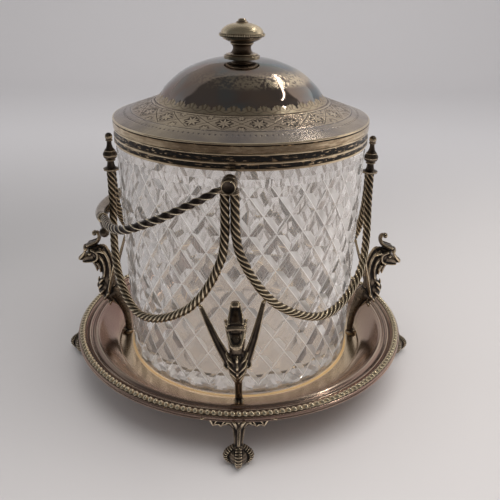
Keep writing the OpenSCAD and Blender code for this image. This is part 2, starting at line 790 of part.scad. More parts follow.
module knob_cap() {
    cap_h = button_z - cap_z;
    color(SILVER)
        rotate_extrude($fn = 64)
            polygon(concat([[0, cap_z]],
                [for (a = [0:15:75]) [rim_r * cos(a), cap_z + cap_h * sin(a)]],
                [[0, button_z]]));
}

module knob_button() {
    color(SILVER)
        rotate_extrude($fn = 48)
            polygon([
                [0, button_z], [knob_button_r, button_z],
                [0.92 * knob_button_r, button_z + 0.35 * knob_button_h],
                [0.8 * knob_button_r, button_z + 0.75 * knob_button_h],
                [0.5 * knob_button_r, button_z + 0.95 * knob_button_h], [0, button_z + knob_button_h]
            ]);
}

module knob_washer() {
    color(SILVER)
        translate([0, 0, washer_z])
            ring_blank(2.6 * knob_screw_r, knob_screw_r + screw_gap, washer_t, 48);
}

module knob_nut() {
    color(DARK_SILVER)
        translate([0, 0, washer_z - nut_h])
            ring_blank(2.1 * knob_screw_r, knob_screw_r, nut_h, 6);
}

// ---------------------------------------------------------------- swing handle

// Handle frame: +X runs from the pivots out to the grip, Y along the line of the pivots and
// +Z to the side that is underneath when the handle is lowered
module in_bail() {
    rotate([0, 0, -upright_lean])
        translate([0, 0, pivot_z])
            rotate([0, 180 - bail_tilt, 0]) children();
}

function grip_point(a) = [bail_reach - grip_arc_r * (1 - cos(a)), grip_arc_r * sin(a)];
arm_dir = [-sin(grip_end_a), cos(grip_end_a)];
rope_seat = grip_point(grip_end_a) + grip_collar_w * arm_dir;

// Arm: share of the reach, share of the arm's distance from the middle
arm_route = [
    [0.155, 0.99], [0.27, 1], [0.38, 0.998], [0.51, 0.959], [0.615, 0.899], [0.708, 0.783],
    [0.802, 0.615]
];

arm_points = concat(
    [[eye_neck_s, eye_y], [eye_neck_s + eye_neck_l, 0.55 * eye_y + 0.45 * arm_y]],
    [for (p = arm_route) [p.x * bail_reach, p.y * arm_y]],
    [rope_seat + 2 * grip_collar_w * arm_dir, rope_seat]
);
arm_thin_r = 0.8 * rope_r;

module bail_eye(m) {
    color(ROPE_SILVER)
        in_bail()
            difference() {
                union() {
                    translate([0, m * eye_y, 0])
                        rotate([90, 0, 0]) cylinder(h = eye_t, r = eye_r, center = true, $fn = 48);
                    rod([eye_r - 1, m * eye_y, 0], [eye_neck_s, m * eye_y, 0], eye_neck_r, eye_neck_r);
                }
                translate([0, m * eye_y, 0])
                    rotate([90, 0, 0])
                        cylinder(h = 2 * eye_t, r = pin_r + run_gap, center = true, $fn = 48);
            }
}

module bail_rope(m) {
    flat = smooth_path([for (p = arm_points) [p.x, m * p.y, 0]], 2);
    radii = [for (p = flat) min(rope_r, arm_thin_r + (rope_r - arm_thin_r) * p.x / (0.25 * bail_reach))];
    color(ROPE_SILVER) in_bail() rope_tube(flat, [for (p = flat) [0, 0, 1]], radii);
}

// Turned ring between rope and grip, with a ball that hangs beside it on a short stalk
module bail_collar(m) {
    drop_dir = unit([0.62, 0.3 * m, 0.72]);
    stalk_r = 0.4 * drop_ball_r;
    middle = grip_point(grip_end_a) + 0.5 * grip_collar_w * arm_dir;
    beside = (arm_points[len(arm_points) - 3] + arm_points[len(arm_points) - 2]) / 2;
    stalk_foot = [middle.x, m * middle.y, 0] + (grip_collar_r + 0.4 * stalk_r) * drop_dir;
    ball = [beside.x, m * beside.y, 0] + (rope_r + drop_ball_r + 2 * side_gap) * drop_dir;
    color(DARK_SILVER)
        in_bail() {
            translate([grip_point(grip_end_a).x, m * grip_point(grip_end_a).y, 0])
                rotate([-90 * m, 0, m * grip_end_a])
                    rotate_extrude($fn = 48)
                        polygon([
                            [0, 0], [0.8 * grip_collar_r, 0], [grip_collar_r, 0.2 * grip_collar_w],
                            [grip_collar_r, 0.45 * grip_collar_w],
                            [0.84 * grip_collar_r, 0.55 * grip_collar_w],
                            [0.95 * grip_collar_r, 0.8 * grip_collar_w],
                            [0.8 * grip_collar_r, grip_collar_w], [0, grip_collar_w]
                        ]);
            translate(stalk_foot) sphere(r = 1.25 * stalk_r, $fn = 24);
            rod(stalk_foot, ball, stalk_r, 1.2 * stalk_r);
            translate(ball) sphere(r = drop_ball_r, $fn = 48);
        }
}

module bail_grip() {
    steps = 12;
    end_r = 0.6 * grip_r;
    end_a = grip_end_a - asin(grip_gap / grip_arc_r);
    path = [for (i = [-steps:steps]) let (p = grip_point(end_a * i / steps)) [p.x, p.y, 0]];
    radii = [for (i = [-steps:steps]) end_r + (grip_r - end_r) * pow(cos(90 * i / steps), 1.3)];
    color(SILVER)
        in_bail() rope_tube(path, [for (p = path) [0, 0, 1]], radii, 16);
}

// ---------------------------------------------------------------- the jar, piece by piece

tray_dish();
tray_bead_wire();
foot(FRONT);  // foot_front
foot(RIGHT);  // foot_right
foot(BACK);  // foot_back
foot(LEFT);  // foot_left
griffin(FRONT);  // griffin_front
griffin(RIGHT);  // griffin_right
griffin(BACK);  // griffin_back
griffin(LEFT);  // griffin_left
griffin_washers();
griffin_nuts();
swag(FRONT);  // swag_front_right
swag(RIGHT);  // swag_back_right
swag(BACK);  // swag_back_left
swag(LEFT);  // swag_front_left
pivot_block(FRONT);  // pivot_block_front
pivot_block(BACK);  // pivot_block_back
pivot_pin(FRONT);  // pivot_pin_front
pivot_pin(BACK);  // pivot_pin_back
finial(RIGHT);  // finial_right
finial(LEFT);  // finial_left
glass_jar();
glass_collar();
lid_rim();
lid_border();
lid_dome();
lid_bezel();
knob_stem();
knob_cup();
knob_bead_ring();
knob_cap();
knob_button();
knob_washer();
knob_nut();
bail_eye(-1);  // bail_eye_front
bail_eye(1);  // bail_eye_back
bail_rope(-1);  // bail_rope_front
bail_rope(1);  // bail_rope_back
bail_collar(-1);  // bail_collar_front
bail_collar(1);  // bail_collar_back
bail_grip();
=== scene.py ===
"""Cut-glass biscuit jar in its footed tray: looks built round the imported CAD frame."""

import math

import bmesh
import bpy
import numpy as np
from mathutils import Matrix, Vector


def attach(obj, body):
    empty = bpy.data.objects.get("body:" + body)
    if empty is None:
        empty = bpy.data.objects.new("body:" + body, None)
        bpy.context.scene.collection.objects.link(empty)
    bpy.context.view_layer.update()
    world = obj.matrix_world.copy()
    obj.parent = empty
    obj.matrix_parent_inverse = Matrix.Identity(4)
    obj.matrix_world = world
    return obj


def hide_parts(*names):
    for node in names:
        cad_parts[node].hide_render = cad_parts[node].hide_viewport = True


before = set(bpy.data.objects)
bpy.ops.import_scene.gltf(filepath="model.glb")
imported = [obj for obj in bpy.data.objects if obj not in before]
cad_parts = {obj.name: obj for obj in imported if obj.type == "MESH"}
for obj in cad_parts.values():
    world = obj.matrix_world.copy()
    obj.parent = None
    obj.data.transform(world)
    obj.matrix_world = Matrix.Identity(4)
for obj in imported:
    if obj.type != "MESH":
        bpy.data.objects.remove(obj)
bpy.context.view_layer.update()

MM = 0.001

# ---------------------------------------------------------------- sizes, in millimetres

TRAY_FLOOR_Z = 14.2
JAR_FOOT_R, JAR_FLARE, JAR_H, GLASS_WALL, GLASS_BASE, JAR_BEVEL = 65.6, 2.2, 131.8, 5.5, 8, 1.2
JAR_MOUTH_R = JAR_FOOT_R + JAR_FLARE
JAR_TOP_Z = TRAY_FLOOR_Z + JAR_H
COLLAR_R = JAR_MOUTH_R + 0.8
COLLAR_Z = JAR_TOP_Z - 6.4
JOINT_Z = JAR_TOP_Z + 1.5
MOUTH_IN_R = JAR_MOUTH_R - GLASS_WALL
JAR_IN_R = JAR_FOOT_R - GLASS_WALL
LID_R = COLLAR_R + 0.1
LID_EDGE_Z = JOINT_Z + 4.7
BORDER_Z = LID_EDGE_Z + 8
DOME_R, DOME_H = 45.6, 21.4
DOME_TOP_Z = BORDER_Z + DOME_H
LID_CHAMFER = 0.7
SLOPE_OUT_R = LID_R - LID_CHAMFER
EDGE_IN_R = LID_R - 3
LID_WALL = 1
CROWN_T = 1.5 * LID_WALL
WASHER_T, NUT_H, SCREW_END = 0.5, 2.4, 0.8

WELL_R = JAR_FOOT_R + 8.1
SLOPE_R = WELL_R + 0.8
SHOULDER_R = SLOPE_R + 11
BORDER_Z0 = TRAY_FLOOR_Z + 11.1
BEAD_SEAT_Z = BORDER_Z0 + 0.7
BEAD_D = 3.4
RIDGES, RIDGE_PITCH, TRAY_LIP = 3, 2.75, 0.65
TRAY_R = SHOULDER_R + RIDGES * RIDGE_PITCH + BEAD_D + TRAY_LIP
TRAY_WALL = 1.5
BEAD_RING_R = TRAY_R - TRAY_LIP - BEAD_D / 2
BAND_FOOT_Z = BEAD_SEAT_Z - 2.8

GRIFFIN_POS_R = JAR_FOOT_R + 1.6 + 3
GRIFFIN_LEAN = 1.8
BRACKET_T = 1.6
BRACKET_R = TRAY_R - TRAY_WALL - BRACKET_T
BRACKET_HALF_W = 14.2
FOOT_R = TRAY_R + 2.2
CLAW_H, TOE_R = 12.4, 2

ROPE_R = 2.25
POST_R = COLLAR_R + 2.15 + ROPE_R
PAIR_OFF = ROPE_R + 0.05
PIVOT_Z = JAR_TOP_Z - 10.5
BLOCK_R = 3.7
BLOCK_FOOT_Z = PIVOT_Z - BLOCK_R - 0.8
FINIAL_Z = PIVOT_Z - 15.9
FINIAL_H, FINIAL_FOOT_R = 21, 4.3
UPRIGHT_LEAN, LEAN_LIFT, LOW_SHIFT = 3.9, 2.8, 5
SWAG_LOW_Z = TRAY_FLOOR_Z + 41.5

KNOB_FOOT_R, KNOB_STEM_H, KNOB_R = 9.4, 7.5, 12.1
KNOB_CUP_H, KNOB_CAP_H, KNOB_BEAD_D, BUTTON_R, BUTTON_H = 3.8, 5.9, 1.8, 3.1, 2.1
KNOB_BASE_Z = DOME_TOP_Z - 0.5
CUP_Z = KNOB_BASE_Z + KNOB_STEM_H
GIRDLE_Z = CUP_Z + KNOB_CUP_H
CAP_Z = GIRDLE_Z + KNOB_BEAD_D / 4
BUTTON_Z = GIRDLE_Z + KNOB_CAP_H
RIM_R = KNOB_R - KNOB_BEAD_D / 2

GRIP_R, GRIP_HALF, GRIP_BOW, GRIP_COLLAR_W, GRIP_COLLAR_R, DROP_BALL_R = 4, 26, 6.7, 3, 2.9, 2.6
BAIL_REACH = BUTTON_Z + BUTTON_H - PIVOT_Z + 20.1 + GRIP_R
BAIL_TILT = math.acos((POST_R + ROPE_R + 0.3 + GRIP_R) / BAIL_REACH)
BLOCK_HALF_T = ROPE_R + 0.1
EYE_Y = POST_R + BLOCK_HALF_T + 0.2 + 1.3
ARM_Y = EYE_Y + 3.2
EYE_NECK_S = 6.2
GRIP_ARC_R = (GRIP_HALF ** 2 + GRIP_BOW ** 2) / (2 * GRIP_BOW)
GRIP_END_A = math.asin(GRIP_HALF / GRIP_ARC_R)
PIN_HEAD_R, PIN_HEAD_T = 3.2, 2

# Turns from the right-hand side, in degrees, as in the record
RIGHT, BACK, LEFT, FRONT = 0, 90, 180, 270
SIDES = {"front": FRONT, "right": RIGHT, "back": BACK, "left": LEFT}


def leans(side):
    return side in (FRONT, BACK)


# ---------------------------------------------------------------- camera, lamps and room

CAMERA_AT = (0, -0.328, 0.2164)
PITCH, YAW, ROLL = 23.94, 1.02, 0.90
SENSOR_W, FOCAL_PX, FRAME_PX = 36, 599.65, 500


def make_camera():
    pitch, yaw, roll = (math.radians(a) for a in (PITCH, YAW, ROLL))
    ahead = Vector((math.sin(yaw) * math.cos(pitch), math.cos(yaw) * math.cos(pitch), -math.sin(pitch)))
    right = Vector((math.cos(yaw), -math.sin(yaw), 0))
    up = right.cross(ahead)
    across = math.cos(roll) * right + math.sin(roll) * up
    upward = math.cos(roll) * up - math.sin(roll) * right
    data = bpy.data.cameras.new("camera")
    data.sensor_width = SENSOR_W
    data.lens = SENSOR_W * FOCAL_PX / FRAME_PX
    data.clip_start = 0.01
    camera = bpy.data.objects.new("camera", data)
    bpy.context.scene.collection.objects.link(camera)
    camera.matrix_world = Matrix((across, upward, -ahead)).transposed().to_4x4()
    camera.location = CAMERA_AT
    bpy.context.scene.camera = camera


make_camera()


class Value:
    """A socket of a finish. Sums and products of it add Math nodes."""

    def __init__(self, finish, socket):
        self.finish = finish
        self.socket = socket

    def math(self, operation, *others):
        return self.finish.sum(operation, self, *others)

    def __add__(self, other):
        return self.math("ADD", other)

    def __sub__(self, other):
        return self.math("SUBTRACT", other)

    def __mul__(self, other):
        return self.math("MULTIPLY", other)

    def __truediv__(self, other):
        return self.math("DIVIDE", other)

    def __rsub__(self, other):
        return self.finish.sum("SUBTRACT", other, self)

    def __neg__(self):
        return self * -1

    __radd__ = __add__
    __rmul__ = __mul__

    def over(self, low, high):
        """0 below low, 1 above high and smooth between them."""
        return self.finish.node("ShaderNodeMapRange", {"interpolation_type": "SMOOTHSTEP"},
                                {"Value": self, "From Min": low, "From Max": high})

    def held(self):
        """Kept from 0 to 1."""
        return self.math("MAXIMUM", 0).math("MINIMUM", 1)


class Finish:
    """A material or world made of nodes."""

    def __init__(self, name, world=False):
        self.data = (bpy.data.worlds if world else bpy.data.materials).new(name)
        self.data.use_nodes = True
        self.tree = self.data.node_tree
        self.tree.nodes.clear()

    def node(self, kind, settings=None, sockets=None, output=0):
        """Any node: its settings are set first, then the values or links of its sockets."""
        made = self.tree.nodes.new(kind)
        for key, value in (settings or {}).items():
            if key == "stops":
                ramp = made.color_ramp.elements
                while len(ramp) < len(value):
                    ramp.new(1)
                for stop, (at, colour) in zip(ramp, value):
                    stop.position = at
                    stop.color = (*colour, 1)
            else:
                setattr(made, key, value)
        for key, value in (sockets or {}).items():
            if isinstance(value, Value):
                self.tree.links.new(value.socket, made.inputs[key])
            else:
                made.inputs[key].default_value = value
        return Value(self, made.outputs[output]) if len(made.outputs) else made

    def sum(self, operation, *values):
        return self.node("ShaderNodeMath", {"operation": operation}, dict(enumerate(values)))

    def mix(self, share, first, second):
        """first where share is 0 and second where it is 1; both are colours."""
        def colour(c):
            return c if isinstance(c, Value) else (*c, 1)
        return self.node("ShaderNodeMix", {"data_type": "RGBA"},
                         {0: share, 6: colour(first), 7: colour(second)}, 2)

    def noise(self, place, scale, detail=3, distortion=0.0):
        return self.node("ShaderNodeTexNoise", {},
                         {"Vector": place, "Scale": scale, "Detail": detail, "Distortion": distortion})

    def place(self):
        return self.node("ShaderNodeTexCoord", {}, {}, "Object")

    def parts_of(self, vector):
        split = self.tree.nodes.new("ShaderNodeSeparateXYZ")
        self.tree.links.new(vector.socket, split.inputs[0])
        return [Value(self, o) for o in split.outputs]

    def vector(self, x, y, z):
        return self.node("ShaderNodeCombineXYZ", {}, {0: x, 1: y, 2: z})

    def mark(self, name):
        """A number that a mesh carries at each of its points."""
        return self.node("ShaderNodeAttribute", {"attribute_name": name}, {}, "Fac")

    def surface(self, **sockets):
        shader = self.node("ShaderNodeBsdfPrincipled", {},
                           {k.replace("_", " "): v for k, v in sockets.items()})
        self.node("ShaderNodeOutputMaterial", {}, {0: shader})
        return self.data


# Direction angles are degrees round from the front to the right, and above the horizon
ACROSS = (0, 0, 0)
LAMP_AIM = (0, 0, 0.09)
LAMPS = [
    # name, round, above, distance, width, height, power, colour, line of its width, seen in metal
    ("long_window", 116.1, 56.7, 0.942, 0.84, 0.012, 0.60, (1.0, 0.965, 0.90), (0.428, -0.902, 0.050), True),
    ("left_wall", -104, 36, 1.2, 1.0, 0.8, 1.4, (0.92, 0.96, 1.0), ACROSS, False),
    ("soft_ceiling", 60, 76, 1.5, 1.5, 1.5, 19.0, (1.0, 0.985, 0.975), ACROSS, False),
]


def make_lamps():
    for name, around, above, distance, width, height, power, colour, line, in_metal in LAMPS:
        a, e = math.radians(around), math.radians(above)
        out = Vector((math.sin(a) * math.cos(e), -math.cos(a) * math.cos(e), math.sin(e)))
        data = bpy.data.lights.new(name, "AREA")
        data.shape = "RECTANGLE"
        data.size, data.size_y = width, height
        data.energy = power
        data.color = colour
        lamp = bpy.data.objects.new(name, data)
        side = Vector(line) if any(line) else Vector((0, 0, 1)).cross(out)
        side = (side - side.dot(out) * out).normalized()
        lamp.matrix_world = Matrix((side, out.cross(side), out)).transposed().to_4x4()
        lamp.location = Vector(LAMP_AIM) + distance * out
        lamp.visible_glossy = in_metal
        bpy.context.scene.collection.objects.link(lamp)


BACKDROP = (0.47, 0.46, 0.475)


def make_room():
    """Pale backdrop seen directly, and a soft room. Plate mirrors it dim in front and lit behind,
    and rays that pass the glass meet a brighter band above the horizon."""
    f = Finish("room", world=True)
    x, y, z = f.parts_of(f.node("ShaderNodeTexCoord", {}, {}, "Generated"))
    wide = f.sum("POWER", f.sum("ABSOLUTE", x), 1.5)
    lit = (y - 0.50 + 0.46 * wide).over(-0.03, 0.03)
    low = 1 - z.over(0.05, 0.85)
    left = (-x).over(0.2, 0.95)
    right = x.over(-0.3, 0.6)
    in_metal = 0.09 + lit * (0.15 + 0.20 * low + 0.24 * right) + 0.22 * x.over(0.1, 0.7) * low
    in_glass = 0.58 + 1.15 * z.over(0.22, 0.45) * (1 - z.over(0.72, 0.95)) * (0.5 + 0.5 * right)
    soft = 0.34 + 0.42 * (1 - z.over(0.0, 0.6))
    path = f.tree.nodes.new("ShaderNodeLightPath")
    seen = Value(f, path.outputs["Is Camera Ray"])
    through = Value(f, path.outputs["Is Transmission Ray"])
    mirrored = Value(f, path.outputs["Is Glossy Ray"])
    level = through * in_glass + mirrored * (1 - through) * in_metal + (1 - mirrored) * (1 - through) * soft
    tint = f.mix(left, (1.0, 0.97, 0.93), (0.95, 0.965, 1.0))
    tint = f.mix(through, tint, (1.0, 0.975, 0.955))
    colour = f.mix(seen, tint, BACKDROP)
    glow = f.node("ShaderNodeBackground", {}, {"Color": colour, "Strength": level * (1 - seen) + seen})
    f.node("ShaderNodeOutputWorld", {}, {0: glow})
    bpy.context.scene.world = f.data


def make_floor():
    """A seamless sheet that curves up behind the jar."""
    half, front, flat_from, bend_y, bend_r, top = 2.6, -2.4, -1.6, 1.0, 0.5, 0.95
    line = [(front, 0.0)] + [(y, 0.0) for y in np.linspace(flat_from, bend_y, 12)]
    for a in np.linspace(8, 90, 12):
        line.append((bend_y + bend_r * math.sin(math.radians(a)), bend_r * (1 - math.cos(math.radians(a)))))
    line.append((bend_y + bend_r, top))
    columns = np.linspace(-half, half, 9)
    points = [(x, y, z) for y, z in line for x in columns]
    n = len(columns)
    faces = [(i * n + j, i * n + j + 1, (i + 1) * n + j + 1, (i + 1) * n + j)
             for i in range(len(line) - 1) for j in range(n - 1)]
    mesh = bpy.data.meshes.new("floor")
    mesh.from_pydata(points, [], faces)
    mesh.shade_smooth()
    floor = bpy.data.objects.new("floor", mesh)
    bpy.context.scene.collection.objects.link(floor)
    f = Finish("paper")
    place = f.place()
    x, y, _ = f.parts_of(place)
    # Painted shadow: the sheet is darker to the left and towards the back, where the jar's shadow falls, and
    # lighter to the right and in front, where the light falls.
    painted_lit_side = (x * 1.1 - y * 0.9).over(-0.45, 0.35)
    colour = f.mix(painted_lit_side, (0.395, 0.385, 0.39), (0.72, 0.69, 0.685))
    colour = f.mix(y.over(0.12, 0.65) * 0.95, colour, (0.635, 0.622, 0.64))
    path = f.tree.nodes.new("ShaderNodeLightPath")
    mirrored = Value(f, path.outputs["Is Glossy Ray"])
    # Painted shade: seen only in reflections, the sheet in front of the jar turns nearly black, standing in
    # for the shaded room there.
    colour = f.mix(mirrored * (-y).over(0.2, 0.42) * 0.85, colour, (0.06, 0.045, 0.04))
    grain = f.noise(place, 900, 2)
    paper = f.node("ShaderNodeBsdfPrincipled", {}, {
        "Base Color": colour, "Roughness": 0.62, "Specular IOR Level": 0.25,
        "Normal": f.node("ShaderNodeBump", {}, {"Strength": 0.05, "Distance": 0.0002, "Height": grain})})
    # Far to the sides and in front the sheet fades into the backdrop
    haze = f.node("ShaderNodeEmission", {}, {"Color": (*BACKDROP, 1)})
    away = f.sum("MAXIMUM", f.sum("ABSOLUTE", x), -y).over(0.95, 2.1)
    far = away * Value(f, path.outputs["Is Camera Ray"])
    f.node("ShaderNodeOutputMaterial", {},
           {0: f.node("ShaderNodeMixShader", {}, {0: far, 1: paper, 2: haze})})
    mesh.materials.append(f.data)


make_lamps()
make_room()
make_floor()
bpy.context.scene.view_settings.view_transform = "Standard"
bpy.context.scene.cycles.max_bounces = 20
bpy.context.scene.cycles.transmission_bounces = 20
bpy.context.scene.cycles.glossy_bounces = 8


# ---------------------------------------------------------------- finishes

def round_place(f, stretch):
    """Place round and up the jar, stretched along the way round, and the place itself."""
    place = f.place()
    x, y, z = f.parts_of(place)
    turn = f.sum("ARCTAN2", x, y)
    reach = f.sum("SQRT", x * x + y * y)
    return f.vector(turn * 0.066 / stretch, reach, z), place, x, y, z, reach


def plated(name, high, mid, low, scale=90, mottling=0.35, gloss=(0.15, 0.45), streaks=0.0, stretch=8,
           relief=0.1, fineness=520, ragged=0.0, outer=None):
    """Silver plate: bright where worn, tarnished in its hollows and in soft clouds; ragged plate is also
    darkened at its front by painted shade.
    """
    f = Finish(name)
    streaky, place, x, y, z, reach = round_place(f, stretch)
    hollow = f.mark("hollow")
    cloud = f.noise(place, scale, 4, 0.4)
    fine = f.noise(place, scale * 11, 3)
    streak = f.noise(streaky, fineness, 4)
    tarnish = hollow + mottling * (cloud - 0.5) + streaks * (streak - 0.5) + 0.12 * (fine - 0.5)
    if ragged:
        flecks = f.noise(streaky, fineness * 2.3, 3)
        upright = f.noise(f.vector(reach, z * 0.12, f.sum("ARCTAN2", x, y) * 0.066), 1500, 2)
        patches = (streak + 0.5 * (flecks - 0.5)).over(0.37, 0.45) - 0.5
        tarnish = tarnish + ragged * patches * hollow.over(0.1, 0.5)
        worn = 0.38 * upright.over(0.60, 0.68) * hollow.over(0.2, 0.5)
        # Painted shade: the front of the plate, towards -y, is darkened as well; worn upright scratches
        # lighten it.
        tarnish = tarnish + 0.10 * (-y).over(0.046, 0.066) - worn
    colour = f.node("ShaderNodeValToRGB",
                    {"stops": [(0.0, high), (0.34, mid), (0.68, low), (1.0, (0.010, 0.008, 0.006))]},
                    {0: tarnish.held()})
    if outer:
        colour = f.mix((reach.over(outer[0], outer[1]) * (1.6 * cloud - 0.25)).held(), colour, outer[2])
    rough = (gloss[0] + (gloss[1] - gloss[0]) * tarnish.held() + 0.08 * (fine - 0.5)).held()
    bump = f.node("ShaderNodeBump", {},
                  {"Strength": relief, "Distance": 0.0003, "Height": fine + 0.5 * streak})
    f.surface(Base_Color=colour, Metallic=1 - 0.55 * tarnish.over(0.6, 1.0), Roughness=rough, Normal=bump)
    return f.data


WARM_HIGH, WARM_MID, WARM_LOW = (0.88, 0.75, 0.56), (0.48, 0.375, 0.265), (0.080, 0.052, 0.036)


def dome_finish():
    """Polished dome with dark bluish and brown tarnish and a speckled band of worn plate."""
    f = Finish("dome_plate")
    _, place, x, _, z, _ = round_place(f, 5)
    hollow = f.mark("hollow")
    cloud = f.noise(place, 38, 4, 0.8)
    broad = f.noise(place, 16, 3, 1.2)
    speck = f.noise(place, 760, 4)
    fine = f.noise(place, 1300, 2)
    height = (z - (BORDER_Z * MM)) / (DOME_H * MM)
    band = height.over(0.42, 0.55) * (1 - height.over(0.62, 0.80)) * (x / MM + 10).over(-22, 26)
    worn = (band * (speck + 0.7 * cloud + 0.1 * (x / 0.03)).over(0.74, 0.86)).held()
    base = f.node("ShaderNodeValToRGB", {"stops": [
        (0.30, (0.46, 0.34, 0.27)), (0.42, (0.36, 0.30, 0.27)), (0.52, (0.27, 0.32, 0.34)),
        (0.60, (0.31, 0.325, 0.32)), (0.70, (0.44, 0.38, 0.32))]}, {0: broad})
    base = f.mix(((cloud - 0.5) * 5).held() * 0.6, base, (0.37, 0.20, 0.14))
    base = f.mix(worn * 0.9, base, (0.95, 0.80, 0.60))
    tone = (hollow + 0.3 * (cloud - 0.5)).held()
    cut = f.node("ShaderNodeValToRGB", {"stops": [(0.0, WARM_HIGH), (0.45, WARM_MID), (0.9, WARM_LOW)]},
                 {0: tone})
    colour = f.mix(f.mark("engraved").held(), base, cut)
    rough = (0.035 + 0.20 * worn + 0.04 * cloud + 0.26 * f.mark("engraved")).held()
    bump = f.node("ShaderNodeBump", {},
                  {"Strength": 0.05, "Distance": 0.0002, "Height": fine + 0.6 * speck * worn})
    return f.surface(Base_Color=colour, Metallic=1.0, Roughness=rough, Normal=bump)


def tray_finish():
    """Dish tarnished brown, with purple clouds, worn to gold near the glass and on its ridges."""
    f = Finish("tray_plate")
    streaky, place, x, _, z, reach = round_place(f, 12)
    cloud = f.noise(place, 26, 4, 0.6)
    broad = f.noise(place, 11, 2, 0.8)
    fine = f.noise(place, 900, 3)
    streak = f.noise(streaky, 420, 4)
    near_glass = 1 - reach.over((JAR_FOOT_R + 3.4) * MM, (JAR_FOOT_R + 13.9) * MM)
    gold = near_glass * 0.9 + 0.15 * (x / 0.1).held()
    base = f.mix((gold + 0.5 * (cloud - 0.5)).held(), (0.45, 0.325, 0.265), (0.86, 0.70, 0.50))
    base = f.mix(((broad - 0.5) * 5).held() * 0.7, base, (0.37, 0.225, 0.20))
    tone = (f.mark("hollow") + 0.22 * (streak - 0.5) + 0.12 * (fine - 0.5)).held()
    base = f.mix(tone.over(0.48, 0.95), base, (0.045, 0.030, 0.026))
    base = f.mix((1 - tone.over(0.02, 0.34)) * 0.9, base, (0.80, 0.71, 0.56))
    # Painted caustic: a thin amber ring of light on the tray floor round the foot of the glass, which stays
    # on the tray when the jar is lifted.
    painted_caustic = reach.over((JAR_FOOT_R - 0.8) * MM, (JAR_FOOT_R - 0.2) * MM)
    painted_caustic = painted_caustic * (1 - reach.over((JAR_FOOT_R + 0.3) * MM, (JAR_FOOT_R + 1.8) * MM))
    painted_caustic = painted_caustic * (1 - z.over((TRAY_FLOOR_Z + 0.3) * MM, (TRAY_FLOOR_Z + 0.6) * MM))
    base = f.mix(painted_caustic * (0.35 + 0.6 * cloud), base, (0.90, 0.56, 0.20))
    rough = (0.07 + 0.08 * cloud + 0.20 * tone + 0.3 * painted_caustic).held()
    bump = f.node("ShaderNodeBump", {}, {"Strength": 0.05, "Distance": 0.0003, "Height": fine + streak})
    return f.surface(Base_Color=base, Metallic=1.0 - 0.6 * painted_caustic, Roughness=rough, Normal=bump)


def glass_finish():
    """Clear lead glass, refracting at the first wall and at the further ones only dimmed by facet, a painted
    shade.
    A little faintly glowing milk, painted light, whitens its cuts and paints highlights along them. Light
    passes it towards the tray."""
    f = Finish("cut_glass")
    line = f.mark("cut")
    path = f.tree.nodes.new("ShaderNodeLightPath")
    deep = Value(f, path.outputs["Ray Depth"]).over(1.4, 1.6)
    near = f.node("ShaderNodeBsdfPrincipled", {}, {
        "Base Color": (0.99, 0.985, 0.98, 1), "Roughness": 0.0, "IOR": 1.5, "Transmission Weight": 1.0})
    nx, ny, nz = f.parts_of(f.node("ShaderNodeNewGeometry", {}, {}, "Normal"))
    px, py, pz = f.parts_of(f.place())
    turn = f.sum("ARCTAN2", px, py)
    facing = nx * f.sum("COSINE", turn) - ny * f.sum("SINE", turn)
    # Painted shade: on the further walls the cut facets are dimmed by the way they face, most where they face
    # up, and more where they turn one way round; the tables stay clear.
    tone = (line.over(0.0, 0.02) * (0.40 + 1.5 * nz + 1.3 * facing)).held()
    far_clear = f.node("ShaderNodeBsdfTransparent", {}, {"Color": (0.97, 0.955, 0.94, 1)})
    far_painted_shade = f.node("ShaderNodeBsdfTransparent", {}, {"Color": (0.38, 0.335, 0.30, 1)})
    far = f.node("ShaderNodeMixShader", {}, {0: tone, 1: far_clear, 2: far_painted_shade})
    glass = f.node("ShaderNodeMixShader", {}, {0: deep, 1: near, 2: far})
    # Painted light: the milk glows faintly, whitening the glass as if lit from within.
    milk = f.node("ShaderNodeBsdfPrincipled", {}, {"Base Color": (0.80, 0.765, 0.74, 1), "Roughness": 0.35,
                                                   "Emission Color": (1.0, 0.95, 0.91, 1),
                                                   "Emission Strength": 0.19})
    reach = f.sum("SQRT", px * px + py * py)
    base_z = TRAY_FLOOR_Z + GLASS_BASE
    ground = 1 - pz.over((base_z + 0.6) * MM, (base_z + 1.4) * MM)
    ground = ground * (1 - reach.over((JAR_IN_R - 1.6) * MM, (JAR_IN_R - 0.6) * MM))
    # Painted light: on the first wall the cut bevels that face down, and those turned one way round, get more
    # milk so that they look lit.
    painted_bevel_light = (1 - deep) * line.over(0.0, 0.02) * (-0.70 * nz + 0.30 * facing).held()
    # The milk lies thinly everywhere, more on the further walls and on the ground inner base, on the lit
    # bevels, in pale lines along the groove bottoms, and as painted highlights along the edges of the tables.
    cloud = (0.06 + 0.06 * deep + 0.10 * ground + painted_bevel_light + 0.30 * line.over(0.87, 0.93)
             + 0.12 * line.over(0.0, 0.03) * (1 - line.over(0.05, 0.12)))
    glass_and_painted_glow = f.node("ShaderNodeMixShader", {}, {0: cloud, 1: glass, 2: milk})
    clear = f.node("ShaderNodeBsdfTransparent", {}, {"Color": (0.93, 0.93, 0.93, 1)})
    mixed = f.node("ShaderNodeMixShader", {},
                   {0: Value(f, path.outputs["Is Shadow Ray"]), 1: glass_and_painted_glow, 2: clear})
    f.node("ShaderNodeOutputMaterial", {}, {0: mixed})
    return f.data


